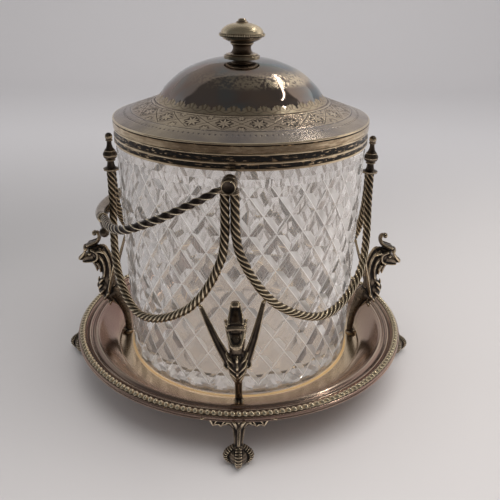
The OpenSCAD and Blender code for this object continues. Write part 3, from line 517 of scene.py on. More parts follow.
PLATE = plated("plate", WARM_HIGH, WARM_MID, WARM_LOW, mottling=0.4)
BEAD_PLATE = plated("bead_plate", (1.0, 0.87, 0.64), (0.74, 0.60, 0.42), (0.06, 0.045, 0.035), mottling=0.25,
                    gloss=(0.22, 0.45))
KNOB_PLATE = plated("knob_plate", (1.0, 0.87, 0.64), (0.84, 0.69, 0.47), WARM_LOW, scale=60, mottling=0.3,
                    gloss=(0.24, 0.42), relief=0.06)
TRAY_PLATE = tray_finish()
BAND_PLATE = plated("band_plate", (0.90, 0.75, 0.53), (0.46, 0.345, 0.225), (0.036, 0.024, 0.020), scale=45,
                    mottling=0.4, gloss=(0.13, 0.40), streaks=0.6, stretch=5, fineness=1100, ragged=0.6)
BORDER_PLATE = plated("border_plate", (0.98, 0.83, 0.61), (0.52, 0.42, 0.325), (0.085, 0.058, 0.042),
                      scale=28, mottling=0.75, gloss=(0.22, 0.32), streaks=0.1, relief=0.05,
                      outer=(0.0565, 0.0600, (0.30, 0.275, 0.285)))
CAST_PLATE = plated("cast_plate", (0.92, 0.77, 0.54), (0.29, 0.23, 0.17), (0.036, 0.028, 0.025), scale=170,
                    mottling=0.4, gloss=(0.16, 0.40), relief=0.22)
ROPE_PLATE = plated("rope_plate", (0.97, 0.83, 0.60), (0.40, 0.31, 0.20), (0.034, 0.024, 0.017), scale=110,
                    mottling=0.28, gloss=(0.16, 0.40), relief=0.12)
DARK_ROPE_PLATE = plated("dark_rope_plate", (0.97, 0.84, 0.62), (0.24, 0.195, 0.155), (0.038, 0.029, 0.026),
                         scale=110, mottling=0.22, gloss=(0.15, 0.34), relief=0.10)
DOME_PLATE = dome_finish()
CUT_GLASS = glass_finish()


# ---------------------------------------------------------------- meshes

def unit(v):
    v = np.asarray(v, float)
    return v / np.maximum(np.linalg.norm(v, axis=-1, keepdims=True), 1e-12)


def paint(finish, *nodes):
    """Gives CAD nodes that stay showing their finish."""
    for node in nodes:
        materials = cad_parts[node].data.materials
        materials.clear()
        materials.append(finish)


def make_piece(name, shape, finish, body, nodes=(), marks=None, sharp=35, weld=False):
    """Links a mesh of (points in mm, faces) that rides on a body and stands for CAD nodes."""
    points, faces = shape
    mesh = bpy.data.meshes.new(name)
    mesh.from_pydata((np.asarray(points, float) * MM).tolist(), [], [list(map(int, f)) for f in faces])
    for mark, values in (marks or {}).items():
        mesh.attributes.new(mark, "FLOAT", "POINT").data.foreach_set(
            "value", np.asarray(values, np.float32).ravel())
    if weld:
        work = bmesh.new()
        work.from_mesh(mesh)
        bmesh.ops.remove_doubles(work, verts=work.verts, dist=1e-7)
        work.to_mesh(mesh)
        work.free()
    mesh.shade_smooth()
    mesh.set_sharp_from_angle(angle=math.radians(sharp))
    mesh.materials.append(finish)
    made = bpy.data.objects.new(name, mesh)
    bpy.context.scene.collection.objects.link(made)
    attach(made, body)
    if nodes:
        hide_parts(*nodes)
    return made


def joined(shapes):
    """Several (points, faces) as one."""
    points, faces, start = [], [], 0
    for p, f in shapes:
        points.append(np.asarray(p, float))
        faces.extend([[i + start for i in face] for face in f])
        start += len(p)
    return np.vstack(points), faces


def placed(shape, matrix, offset=(0, 0, 0)):
    """A shape turned by a 3x3 matrix and then moved."""
    points, faces = shape
    turned_faces = faces if np.linalg.det(matrix) > 0 else [list(f)[::-1] for f in faces]
    return np.asarray(points, float) @ np.asarray(matrix, float).T + np.asarray(offset, float), turned_faces


def moved(shape, offset):
    return placed(shape, np.eye(3), offset)


def spin(degrees, axis="z"):
    a = math.radians(degrees)
    c, s = math.cos(a), math.sin(a)
    return np.array({"x": [[1, 0, 0], [0, c, -s], [0, s, c]], "y": [[c, 0, s], [0, 1, 0], [-s, 0, c]],
                     "z": [[c, -s, 0], [s, c, 0], [0, 0, 1]]}[axis], float)


def fine(points, step):
    """The same line with more points, none further apart than step."""
    points = [np.asarray(p, float) for p in points]
    out = []
    for a, b in zip(points[:-1], points[1:]):
        n = max(1, math.ceil(np.linalg.norm(b - a) / step))
        out += [a + (b - a) * k / n for k in range(n)]
    return out + [points[-1]]


def smooth_line(points, n):
    """A smooth line through points, with n steps between each pair."""
    p = np.asarray(points, float)
    out = []
    for i in range(len(p) - 1):
        a, b, c, d = p[max(i - 1, 0)], p[i], p[i + 1], p[min(i + 2, len(p) - 1)]
        for k in range(n):
            u = k / n
            out.append(0.5 * (2 * b + (c - a) * u + (2 * a - 5 * b + 4 * c - d) * u * u
                              + (3 * b - a - 3 * c + d) * u ** 3))
    return np.array(out + [p[-1]])


def turned(outline, around=192, wave=None):
    """A form turned from a closed outline of (radius, height). wave(angle, radius, height)
    gives how far each point is raised; the angle is in degrees from the front to the right."""
    line = np.asarray(outline, float)
    after = np.roll(line, -1, 0)
    if np.sum(line[:, 0] * after[:, 1] - after[:, 0] * line[:, 1]) < 0:
        line = line[::-1]
        after = np.roll(line, -1, 0)
    edge = unit(after - line)
    square = np.stack([edge[:, 1], -edge[:, 0]], 1)
    normal = unit(square + np.roll(square, 1, 0))
    angle = np.arange(around) * 360 / around
    r = np.repeat(line[:, :1], around, 1)
    z = np.repeat(line[:, 1:], around, 1)
    if wave is not None:
        lift = wave(angle[None, :], r, z)
        r, z = r + lift * normal[:, :1], z + lift * normal[:, 1:]
    a = np.radians(angle)[None, :]
    points = np.stack([r * np.sin(a), -r * np.cos(a), z], -1).reshape(-1, 3)
    m = len(line)
    i, j = np.meshgrid(np.arange(m), np.arange(around), indexing="ij")
    up, on = (i + 1) % m, (j + 1) % around
    faces = np.stack([i * around + j, i * around + on, up * around + on, up * around + j], -1).reshape(-1, 4)
    return points, faces


def about(shape):
    """Angle from the front in degrees, radius and height of each point of a shape, in mm."""
    p = np.asarray(shape[0])
    return np.degrees(np.arctan2(p[:, 0], -p[:, 1])), np.hypot(p[:, 0], p[:, 1]), p[:, 2]


def ball(centre, radii, sides=16, rings=10):
    """A closed ellipsoid."""
    radii = np.ones(3) * radii
    points = [np.array([0, 0, -1.0])]
    for k in range(1, rings):
        t = math.pi * k / rings
        points += [np.array([math.sin(t) * math.cos(2 * math.pi * j / sides),
                             math.sin(t) * math.sin(2 * math.pi * j / sides), -math.cos(t)])
                   for j in range(sides)]
    points.append(np.array([0, 0, 1.0]))
    faces = [[0, 1 + (j + 1) % sides, 1 + j] for j in range(sides)]
    for k in range(rings - 2):
        a, b = 1 + k * sides, 1 + (k + 1) * sides
        faces += [[a + j, a + (j + 1) % sides, b + (j + 1) % sides, b + j] for j in range(sides)]
    last, top = 1 + (rings - 2) * sides, len(points) - 1
    faces += [[last + j, last + (j + 1) % sides, top] for j in range(sides)]
    return np.array(points) * radii + np.asarray(centre, float), faces


def tube(path, widths, heights=None, side=(0, 1, 0), sides=14, steps=4):
    """A closed bar along a smooth path. widths are its half sizes along side, heights across it."""
    line = smooth_line(path, steps) if steps > 1 else np.asarray(path, float)
    t = np.linspace(0, 1, len(line))
    known = np.linspace(0, 1, len(np.atleast_1d(widths))) if np.ndim(widths) else None
    w = np.interp(t, known, widths) if known is not None else np.full(len(line), float(widths))
    if heights is None:
        h = w
    else:
        h = (np.interp(t, np.linspace(0, 1, len(heights)), heights) if np.ndim(heights)
             else np.full(len(line), float(heights)))
    ahead = unit(np.gradient(line, axis=0))
    side = np.asarray(side, float)
    across = unit(side - (ahead @ side)[:, None] * ahead)
    up = np.cross(ahead, across)
    a = np.arange(sides) * 2 * math.pi / sides
    rings = (line[:, None, :] + (w[:, None] * np.cos(a))[..., None] * across[:, None, :]
             + (h[:, None] * np.sin(a))[..., None] * up[:, None, :])
    # Rounded ends
    first = line[0] - 0.6 * min(w[0], h[0]) * ahead[0]
    last = line[-1] + 0.6 * min(w[-1], h[-1]) * ahead[-1]
    points = np.vstack([rings.reshape(-1, 3), first, last])
    n = len(line)
    faces = [[i * sides + j, i * sides + (j + 1) % sides, (i + 1) * sides + (j + 1) % sides,
              (i + 1) * sides + j]
             for i in range(n - 1) for j in range(sides)]
    faces += [[n * sides, (j + 1) % sides, j] for j in range(sides)]
    faces += [[n * sides + 1, (n - 1) * sides + j, (n - 1) * sides + (j + 1) % sides] for j in range(sides)]
    return points, faces


def averager(edges, count):
    """A function that gives each point the mean of its neighbours' values."""
    neighbours = np.bincount(edges.ravel(), minlength=count)[:, None].clip(1)

    def average(values):
        total = np.zeros_like(values)
        for a, b in ((0, 1), (1, 0)):
            for k in range(values.shape[1]):
                total[:, k] += np.bincount(edges[:, a], values[edges[:, b], k], minlength=count)
        return total / neighbours

    return average


FLAT_MARK, BEND_CONTRAST = 0.61, 1.35


def cast(name, shapes, voxel, body, nodes, soften):
    """Fuses overlapping shapes into one casting and marks its hollows for the tarnish: above
    FLAT_MARK in its hollows and below it on its ridges."""
    points, faces = joined(shapes)
    mesh = bpy.data.meshes.new(name + "_rough")
    mesh.from_pydata((points * MM).tolist(), [], faces)
    rough = bpy.data.objects.new(name + "_rough", mesh)
    bpy.context.scene.collection.objects.link(rough)
    fuse = rough.modifiers.new("fuse", "REMESH")
    fuse.mode = "VOXEL"
    fuse.voxel_size = voxel * MM
    view = bpy.context.evaluated_depsgraph_get()
    whole = bpy.data.meshes.new_from_object(rough.evaluated_get(view))
    bpy.data.objects.remove(rough)
    n = len(whole.vertices)
    co = np.zeros(n * 3)
    whole.vertices.foreach_get("co", co)
    co = co.reshape(-1, 3) / MM
    edges = np.zeros(len(whole.edges) * 2, int)
    whole.edges.foreach_get("vertices", edges)
    edges = edges.reshape(-1, 2)
    average = averager(edges, n)
    for _ in range(soften):
        co = 0.5 * co + 0.5 * average(co)
    whole.vertices.foreach_set("co", (co * MM).ravel())
    whole.update()
    normal = np.zeros(n * 3)
    whole.vertices.foreach_get("normal", normal)
    normal = normal.reshape(-1, 3)
    smooth = co
    for _ in range(5):
        smooth = average(smooth)
    bend = np.sum((smooth - co) * normal, 1, keepdims=True)
    for _ in range(2):
        bend = average(bend)
    mark = np.clip(FLAT_MARK + BEND_CONTRAST * bend[:, 0] / voxel, 0, 1)
    whole.attributes.new("hollow", "FLOAT", "POINT").data.foreach_set("value", mark.astype(np.float32))
    whole.name = name
    whole.shade_smooth()
    whole.materials.clear()
    whole.materials.append(CAST_PLATE)
    made = bpy.data.objects.new(name, whole)
    bpy.context.scene.collection.objects.link(made)
    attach(made, body)
    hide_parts(*nodes)


# ---------------------------------------------------------------- glass

DIAMONDS = 30
DIAMOND_H = 19.4
CROSSING_A, CROSSING_Z = 3.4, 107.0
CUT_DEPTH = 1.4
TABLE_FROM = 0.25
CUT_LOW_Z, CUT_HIGH_Z = 16.2, 135.4


def barrel_r(z):
    """Outer radius of the glass at a height."""
    low = TRAY_FLOOR_Z + JAR_BEVEL
    return JAR_FOOT_R + JAR_FLARE * np.clip((z - low) / (COLLAR_Z - low), 0, 1)


def widened(a):
    """Moves the quarter lines of the cutting out to the edges of the raised tables."""
    part = a - np.floor(a)
    return np.floor(a) + np.interp(part, [0, 0.25, 0.5, 0.75, 1], [0, TABLE_FROM, 0.5, 1 - TABLE_FROM, 1])


def cut_glass():
    """Barrel with crossing mitre cuts that leave a flat-topped diamond between them."""
    quarters = 4
    low = math.ceil((CUT_LOW_Z - CROSSING_Z) / DIAMOND_H * quarters)
    high = math.floor((CUT_HIGH_Z - CROSSING_Z) / DIAMOND_H * quarters)
    around = DIAMONDS * quarters

    def cut_point(u, v):
        a, b = u + v, u - v
        wa, wb = widened(a), widened(b)
        turn = (wa + wb) / 2
        z = CROSSING_Z + DIAMOND_H * (wa - wb) / 2
        near = min(abs(a - round(a)), abs(b - round(b)))
        cut = max(0.0, 1 - near / 0.25)
        cuts.append(cut)
        r = barrel_r(z) - CUT_DEPTH * cut
        angle = math.radians(CROSSING_A + 360 * turn / DIAMONDS)
        return [r * math.sin(angle), -r * math.cos(angle), z]

    points, faces, cuts = [], [], []

    def ring_of(values):
        start = len(points)
        points.extend(values)
        return [start + k for k in range(around)]

    def plain_ring(r, z):
        angle = [math.radians(CROSSING_A + 360 * k / around) for k in range(around)]
        return ring_of([[r * math.sin(a), -r * math.cos(a), z] for a in angle])

    corners = [ring_of([cut_point(j / quarters, i / quarters) for j in range(around)])
               for i in range(low, high + 1)]
    for n, i in enumerate(range(low, high)):
        middles = ring_of([cut_point((j + 0.5) / quarters, (i + 0.5) / quarters) for j in range(around)])
        a, b = corners[n], corners[n + 1]
        for j in range(around):
            k, m = (j + 1) % around, middles[j]
            faces += [[a[j], a[k], m], [a[k], b[k], m], [b[k], b[j], m], [b[j], a[j], m]]

    def bridge(a, b):
        faces.extend([[a[j], a[(j + 1) % around], b[(j + 1) % around], b[j]] for j in range(around)])

    top = [plain_ring(barrel_r(CUT_HIGH_Z), CUT_HIGH_Z), plain_ring(JAR_MOUTH_R, COLLAR_Z),
           plain_ring(JAR_MOUTH_R - 0.1, JAR_TOP_Z), plain_ring(MOUTH_IN_R, JAR_TOP_Z),
           plain_ring(MOUTH_IN_R, COLLAR_Z)]
    inside = [plain_ring(JAR_IN_R + (MOUTH_IN_R - JAR_IN_R) * t,
                         TRAY_FLOOR_Z + GLASS_BASE + 3 + (COLLAR_Z - TRAY_FLOOR_Z - GLASS_BASE - 3) * t)
              for t in (0.66, 0.33, 0.0)]
    base_in = TRAY_FLOOR_Z + GLASS_BASE
    well = [plain_ring(JAR_IN_R - 0.9, base_in + 0.9), plain_ring(JAR_IN_R - 3, base_in),
            plain_ring(JAR_IN_R - 20, base_in - 0.3), plain_ring(18, base_in - 0.4)]
    points.append([0, 0, base_in - 0.4])
    centre_in = len(points) - 1
    rings = [corners[-1]] + top + inside + well
    for a, b in zip(rings[:-1], rings[1:]):
        bridge(a, b)
    faces.extend([[well[-1][j], well[-1][(j + 1) % around], centre_in] for j in range(around)])
    # Under the foot: a ray-cut star in a ground ring
    foot = [plain_ring(barrel_r(CUT_LOW_Z) - 0.05, TRAY_FLOOR_Z + JAR_BEVEL + 0.3),
            plain_ring(JAR_FOOT_R - JAR_BEVEL, TRAY_FLOOR_Z), plain_ring(JAR_FOOT_R - 8, TRAY_FLOOR_Z)]
    star = ring_of([[r * math.sin(a), -r * math.cos(a), z] for a, r, z in
                    ((math.radians(CROSSING_A + 360 * k / around), JAR_FOOT_R - 10,
                      TRAY_FLOOR_Z + (1.6 if k % 5 == 0 else 0.5)) for k in range(around))])
    points.append([0, 0, TRAY_FLOOR_Z + 2.2])
    centre = len(points) - 1
    rings = [star, foot[2], foot[1], foot[0], corners[0]]
    for a, b in zip(rings[:-1], rings[1:]):
        bridge(a, b)
    faces.extend([[star[(j + 1) % around], star[j], centre] for j in range(around)])
    return (np.array(points), faces), cuts + [0.0] * (len(points) - len(cuts))


barrel, barrel_cuts = cut_glass()
make_piece("cut_glass_jar", barrel, CUT_GLASS, "jar", ["glass_jar"], {"cut": barrel_cuts}, 10)


# ---------------------------------------------------------------- collar and lid

def collar():
    line = fine([
        (JAR_MOUTH_R, COLLAR_Z), (COLLAR_R - 0.15, COLLAR_Z), (COLLAR_R, COLLAR_Z + 0.25),
        (COLLAR_R, COLLAR_Z + 1), (COLLAR_R - 0.45, COLLAR_Z + 1.25), (COLLAR_R - 0.45, COLLAR_Z + 2.9),
        (COLLAR_R - 0.05, COLLAR_Z + 3.2), (COLLAR_R, COLLAR_Z + 3.6), (COLLAR_R - 0.05, COLLAR_Z + 4),
        (COLLAR_R - 0.5, COLLAR_Z + 4.35), (COLLAR_R - 0.5, JOINT_Z - 1), (COLLAR_R - 0.05, JOINT_Z - 0.75),
        (COLLAR_R, JOINT_Z - 0.4), (COLLAR_R - 0.1, JOINT_Z)], 0.35)
    inner = [(MOUTH_IN_R, JOINT_Z), (MOUTH_IN_R, JAR_TOP_Z + 0.05), (JAR_MOUTH_R, JAR_TOP_Z + 0.05)]
    shape = turned(line + inner, 256)
    _, r, _ = about(shape)
    deep = np.clip((COLLAR_R - 0.12 - r) / 0.25, 0, 1) * (r > JAR_MOUTH_R - 0.1)
    make_piece("glass_collar_band", shape, BAND_PLATE, "jar", ["glass_collar"],
               {"hollow": 0.10 + 0.50 * deep}, 30)


def lid_rim():
    line = fine([
        (LID_R - 0.2, JOINT_Z + 0.1), (LID_R, JOINT_Z + 0.35), (LID_R, LID_EDGE_Z - 1.5),
        (LID_R - 0.3, LID_EDGE_Z - 1.3), (LID_R - 0.3, LID_EDGE_Z - 0.95),
        (LID_R - 0.02, LID_EDGE_Z - 0.8), (LID_R, LID_EDGE_Z - 0.45),
        (LID_R - 0.2, LID_EDGE_Z - 0.12), (SLOPE_OUT_R, LID_EDGE_Z)], 0.3)
    inner = [(SLOPE_OUT_R, LID_EDGE_Z - 1.06), (EDGE_IN_R, LID_EDGE_Z - 0.1), (EDGE_IN_R, JOINT_Z + 0.1)]
    shape = turned(line + inner, 256)
    _, r, z = about(shape)
    groove = np.clip((LID_R - 0.1 - r) / 0.2, 0, 1) * (z < LID_EDGE_Z - 0.4)
    mark = 0.18 + 0.55 * groove - 0.2 * (z > LID_EDGE_Z - 0.7)
    make_piece("lid_rim_band", shape, BAND_PLATE, "lid", ["lid_rim"], {"hollow": mark}, 30)


def border_height(r):
    return LID_EDGE_Z + (SLOPE_OUT_R - r) / (SLOPE_OUT_R - DOME_R) * (BORDER_Z - LID_EDGE_Z)


STARS, STAR_R = 21, 53
ENGRAVED_IN_R, ENGRAVED_OUT_R = 46.9, 58.6
FINE_IN_R, FINE_OUT_R, GROOVE_R = 47.0, 59.4, 46.25


def engraving(angle, r):
    """Bright and dark lines of the sloping border, each from 0 to 1: stars inside crossing straps."""
    period = 2 * math.pi * STAR_R / STARS
    part = angle * STARS / 360 - np.floor(angle * STARS / 360) - 0.5
    x, y = part * period, r - STAR_R

    def petals(x, y, turns, length, wide):
        reach, at = np.hypot(x, y), np.arctan2(y, x)
        aside = np.abs(np.sin((at * turns / 2 + math.pi / 2) % math.pi - math.pi / 2)) * 2 / turns * reach
        half = wide * np.sin(math.pi * np.clip(reach / length, 0, 1)) ** 0.8
        inside = (reach < length) & (reach > 0.35)
        return inside * np.clip(1.4 - aside / np.maximum(half * 0.62, 0.05), 0, 1), inside * np.clip(
            1 - np.abs(aside - half) / 0.42, 0, 1)

    bright, dark = petals(x, y, 8, 4.3, 0.66)
    strap = (np.abs(x) / (period / 2) + np.abs(y) / 5.1 - 1) * 4.3
    light_strap = 0.8 * np.clip(1.3 - np.abs(np.abs(strap) - 0.5) / 0.24, 0, 1)
    dark_strap = np.clip(1 - np.abs(strap) / 0.22, 0, 1)
    sx = (np.abs(part) - 0.5) * period
    leaf_bright, leaf_dark = petals(sx, np.abs(y) - 4.6, 6, 2.3, 0.6)
    rings = sum(np.clip(1.2 - np.abs(r - at) / wide, 0, 1) for at, wide in ((47.35, 0.32), (58.5, 0.3)))
    dark_rings = sum(np.clip(1 - np.abs(r - at) / 0.3, 0, 1) for at in (47.95, 59.1))
    dots = (np.abs(r - 62.2) < 0.5) * (np.abs(angle * 150 / 360 % 1 - 0.5) < 0.14)
    bright = np.maximum.reduce([bright, light_strap * (np.abs(y) < 5.4), 0.9 * leaf_bright, rings])
    dark = np.maximum.reduce([dark, 0.85 * dark_strap * (np.abs(y) < 5.4), 0.8 * leaf_dark, dark_rings,
                              0.7 * dots])
    return np.clip(bright, 0, 1), np.clip(dark, 0, 1) * (1 - np.clip(bright, 0, 1))


def lid_border():
    slope = fine([(r, border_height(r)) for r in (SLOPE_OUT_R, 63, FINE_OUT_R)], 0.5)[:-1]
    slope += fine([(r, border_height(r)) for r in (FINE_OUT_R, FINE_IN_R)], 0.28)[:-1]
    slope += [(FINE_IN_R, border_height(FINE_IN_R)), (46.6, border_height(46.6) - 0.1),
              (46.4, border_height(46.4) - 0.45), (46.1, border_height(46.1) - 0.45),
              (45.9, BORDER_Z - 0.1), (DOME_R, BORDER_Z)]
    under = [(DOME_R - 1, BORDER_Z - 0.2), (DOME_R - 0.2, BORDER_Z - 1.06), (SLOPE_OUT_R, LID_EDGE_Z - 1.06)]

    def cut(angle, r, z):
        on_top = z > border_height(r) - 0.6
        bright, dark = engraving(angle, r)
        return np.where(on_top & (r > ENGRAVED_IN_R), -0.05 * bright - 0.16 * dark, 0)

    shape = turned(slope + under, 1440, cut)
    angle, r, z = about(shape)
    groove = np.clip(1 - np.abs(r - GROOVE_R) / 0.5, 0, 1)
    bright, dark = engraving(angle, r)
    worked = (r > ENGRAVED_IN_R) * (r < ENGRAVED_OUT_R)
    mark = 0.22 + 0.10 * worked + (r > ENGRAVED_IN_R) * (0.75 * dark - 0.14 * bright) + 0.5 * groove
    make_piece("lid_engraved_border", shape, BORDER_PLATE, "lid", ["lid_border"],
               {"hollow": mark.clip(0, 1)}, 40)


DOME_PROFILE = [(1, 0), (0.945, 0.13), (0.895, 0.28), (0.82, 0.435), (0.74, 0.575), (0.64, 0.71),
                (0.51, 0.83), (0.37, 0.925), (0.2, 0.985), (0, 1)]
CRESTS, CREST_UNIT, CREST_IN_R, CREST_TOP = 38, 1.08, 42.0, 4
SCREW_HOLE_R = 2.1


def dome_line():
    return smooth_line([(a * DOME_R, BORDER_Z + b * DOME_H) for a, b in DOME_PROFILE], 6)


def crest(angle, height):
    """Palmettes round the foot of the dome: their cover and the tone of their cut leaves."""
    u = angle * CRESTS / 360
    part = (u - np.floor(u) - 0.5) * 2
    top = 1.35 + 1.75 * np.sqrt(np.clip(1 - (1.08 * part) ** 2, 0, 1)) + 0.14 * np.cos(5 * math.pi * part)
    inside = height < top
    fan = np.arctan2(part * 3.6, height + 0.2)
    leaves = 0.5 + 0.5 * np.cos(fan * 8)
    arc = np.clip(1 - np.abs(height - 0.75 - 0.45 * np.cos(math.pi * part)) / 0.17, 0, 1)
    return inside * 1.0, np.clip(0.10 + 0.5 * (1 - leaves) ** 2 * (height > 1.3) + 0.75 * arc, 0, 1)


def lid_dome():
    line = dome_line()
    start = fine(line[:8], 0.25)
    outer = np.array(list(start)[:-1] + list(line[7:]))
    outer[:, 1] = np.minimum(outer[:, 1], DOME_TOP_Z)
    direction = unit(np.gradient(outer, axis=0))
    inner = outer + LID_WALL * np.stack([-direction[:, 1], direction[:, 0]], 1)
    inner[:, 1] = np.minimum(inner[:, 1], DOME_TOP_Z - CROWN_T)
    outer = outer[outer[:, 0] > SCREW_HOLE_R]
    inner = inner[inner[:, 0] > SCREW_HOLE_R]
    hole = [(SCREW_HOLE_R, DOME_TOP_Z), (SCREW_HOLE_R, DOME_TOP_Z - CROWN_T)]
    loop = list(outer) + hole + list(inner[::-1])

    def cut(angle, r, z):
        cover, tone = crest(angle, (z - BORDER_Z) / CREST_UNIT)
        return np.where((z < BORDER_Z + CREST_TOP) & (r > CREST_IN_R), -0.09 * cover * (tone > 0.4), 0)

    shape = turned(loop, 912, cut)
    angle, _, z = about(shape)
    cover, tone = crest(angle, (z - BORDER_Z) / CREST_UNIT)
    make_piece("lid_dome_shell", shape, DOME_PLATE, "lid", ["lid_dome"],
               {"hollow": 0.12 + 0.8 * tone, "engraved": cover}, 40)


collar()
lid_rim()
lid_border()
lid_dome()
paint(PLATE, "lid_bezel", "knob_washer", "griffin_washers")
paint(CAST_PLATE, "knob_nut", "griffin_nuts")


# ---------------------------------------------------------------- knob

KNOB_BEADS = 60


def knob():
    dome = dome_line()[::-1]

    def dome_z(r):
        return float(np.interp(r, dome[:, 0], dome[:, 1])) + 0.02

    screw_foot = DOME_TOP_Z - CROWN_T - WASHER_T - NUT_H - SCREW_END
    seat = [(r, dome_z(r)) for r in (KNOB_FOOT_R, 6, 4, 2)]
    line = smooth_line([
        (KNOB_FOOT_R, KNOB_BASE_Z + 0.5), (KNOB_FOOT_R + 0.15, KNOB_BASE_Z + 0.95), (8.9, KNOB_BASE_Z + 1.35),
        (8.35, KNOB_BASE_Z + 1.45), (8.3, KNOB_BASE_Z + 1.9), (7.6, KNOB_BASE_Z + 2.15),
        (6.1, KNOB_BASE_Z + 2.4), (5.2, KNOB_BASE_Z + 0.45 * KNOB_STEM_H),
        (4.75, KNOB_BASE_Z + 0.60 * KNOB_STEM_H), (4.85, KNOB_BASE_Z + 0.74 * KNOB_STEM_H),
        (5.35, KNOB_BASE_Z + 0.84 * KNOB_STEM_H), (6.0, KNOB_BASE_Z + 0.90 * KNOB_STEM_H),
        (6.2, KNOB_BASE_Z + 0.95 * KNOB_STEM_H), (5.9, CUP_Z)], 3)
    loop = [(0, screw_foot), (2, screw_foot)] + seat[::-1] + list(line) + [(0, CUP_Z)]
    shape = turned(loop, 128)
    _, r, z = about(shape)
    mark = 0.22 + 0.42 * np.clip((7.2 - r) / 1.2, 0, 1) * (z > KNOB_BASE_Z + 1.6) * (z < CUP_Z - 0.75)
    mark += 0.6 * np.clip(1 - np.abs(z - KNOB_BASE_Z - 1.42) / 0.25, 0, 1) * (r > 8)
    make_piece("knob_turned_stem", shape, PLATE, "lid", ["knob_stem"], {"hollow": mark}, 40, True)
    cup = smooth_line([(5.6, CUP_Z), (6.6, CUP_Z + 0.35), (8.2, CUP_Z + 1.0), (9.6, CUP_Z + 1.6),
                       (10.5, CUP_Z + 2.5), (RIM_R - 0.25, GIRDLE_Z - 0.75), (RIM_R - 0.1, GIRDLE_Z - 0.4)],
                      3)
    shape = turned([(0, CUP_Z)] + list(cup) + [(RIM_R - 0.3, CAP_Z), (0, CAP_Z)], 128)
    _, _, z = about(shape)
    make_piece("knob_bowl", shape, PLATE, "lid", ["knob_cup"],
               {"hollow": 0.3 + 0.35 * (z < CUP_Z + 1.2)}, 40, True)
    beads = []
    for k in range(KNOB_BEADS):
        a = 2 * math.pi * k / KNOB_BEADS
        beads.append(ball(((RIM_R + 0.25) * math.sin(a), -(RIM_R + 0.25) * math.cos(a), GIRDLE_Z),
                          (0.56, 0.56, 0.66), 10, 7))
    beads.append(turned([(RIM_R - 0.8, GIRDLE_Z - 0.8), (RIM_R + 0.2, GIRDLE_Z - 0.86),
                         (RIM_R + 0.35, GIRDLE_Z - 0.72), (RIM_R + 0.1, GIRDLE_Z - 0.55),
                         (RIM_R + 0.05, GIRDLE_Z + 0.5), (RIM_R + 0.45, GIRDLE_Z + 0.62),
                         (RIM_R + 0.5, GIRDLE_Z + 0.78), (RIM_R + 0.2, GIRDLE_Z + 0.88),
                         (RIM_R - 0.8, GIRDLE_Z + 0.85)], 96))
    shape = joined(beads)
    _, r, _ = about(shape)
    mark = 0.95 - 0.9 * np.clip((r - RIM_R - 0.15) / 0.5, 0, 1)
    make_piece("knob_girdle_beads", shape, BEAD_PLATE, "lid", ["knob_bead_ring"],
               {"hollow": mark.clip(0, 1)}, 60)
    cap_h = BUTTON_Z - CAP_Z
    cap = [(RIM_R * math.cos(math.radians(a)) ** 0.9, CAP_Z + cap_h * math.sin(math.radians(a)))
           for a in range(0, 90, 4)]
    cap[0] = (RIM_R, CAP_Z)
    cap = [(r, z) for r, z in cap if r > 1.2]
    shape = turned([(0, CAP_Z)] + cap + [(0, BUTTON_Z)], 192)
    _, r, _ = about(shape)
    mark = 0.24 + 0.3 * (r < 3.6) * (r > 2.6)
    make_piece("knob_cushion_top", shape, KNOB_PLATE, "lid", ["knob_cap"], {"hollow": mark}, 50,
               True)
    button = smooth_line([(BUTTON_R, BUTTON_Z - 0.1), (BUTTON_R + 0.02, BUTTON_Z + 0.3),
                          (2.6, BUTTON_Z + 0.55), (2.2, BUTTON_Z + 0.6), (2.25, BUTTON_Z + 1.0),
                          (1.9, BUTTON_Z + 1.55), (1.1, BUTTON_Z + 1.95), (0, BUTTON_Z + BUTTON_H)], 3)
    shape = turned([(0, BUTTON_Z - 0.1)] + list(button), 64)
    _, _, z = about(shape)
    mark = 0.15 + 0.6 * (np.abs(z - BUTTON_Z - 0.58) < 0.16)
    make_piece("knob_top_button", shape, PLATE, "lid", ["knob_button"], {"hollow": mark}, 40, True)


knob()


# ---------------------------------------------------------------- tray

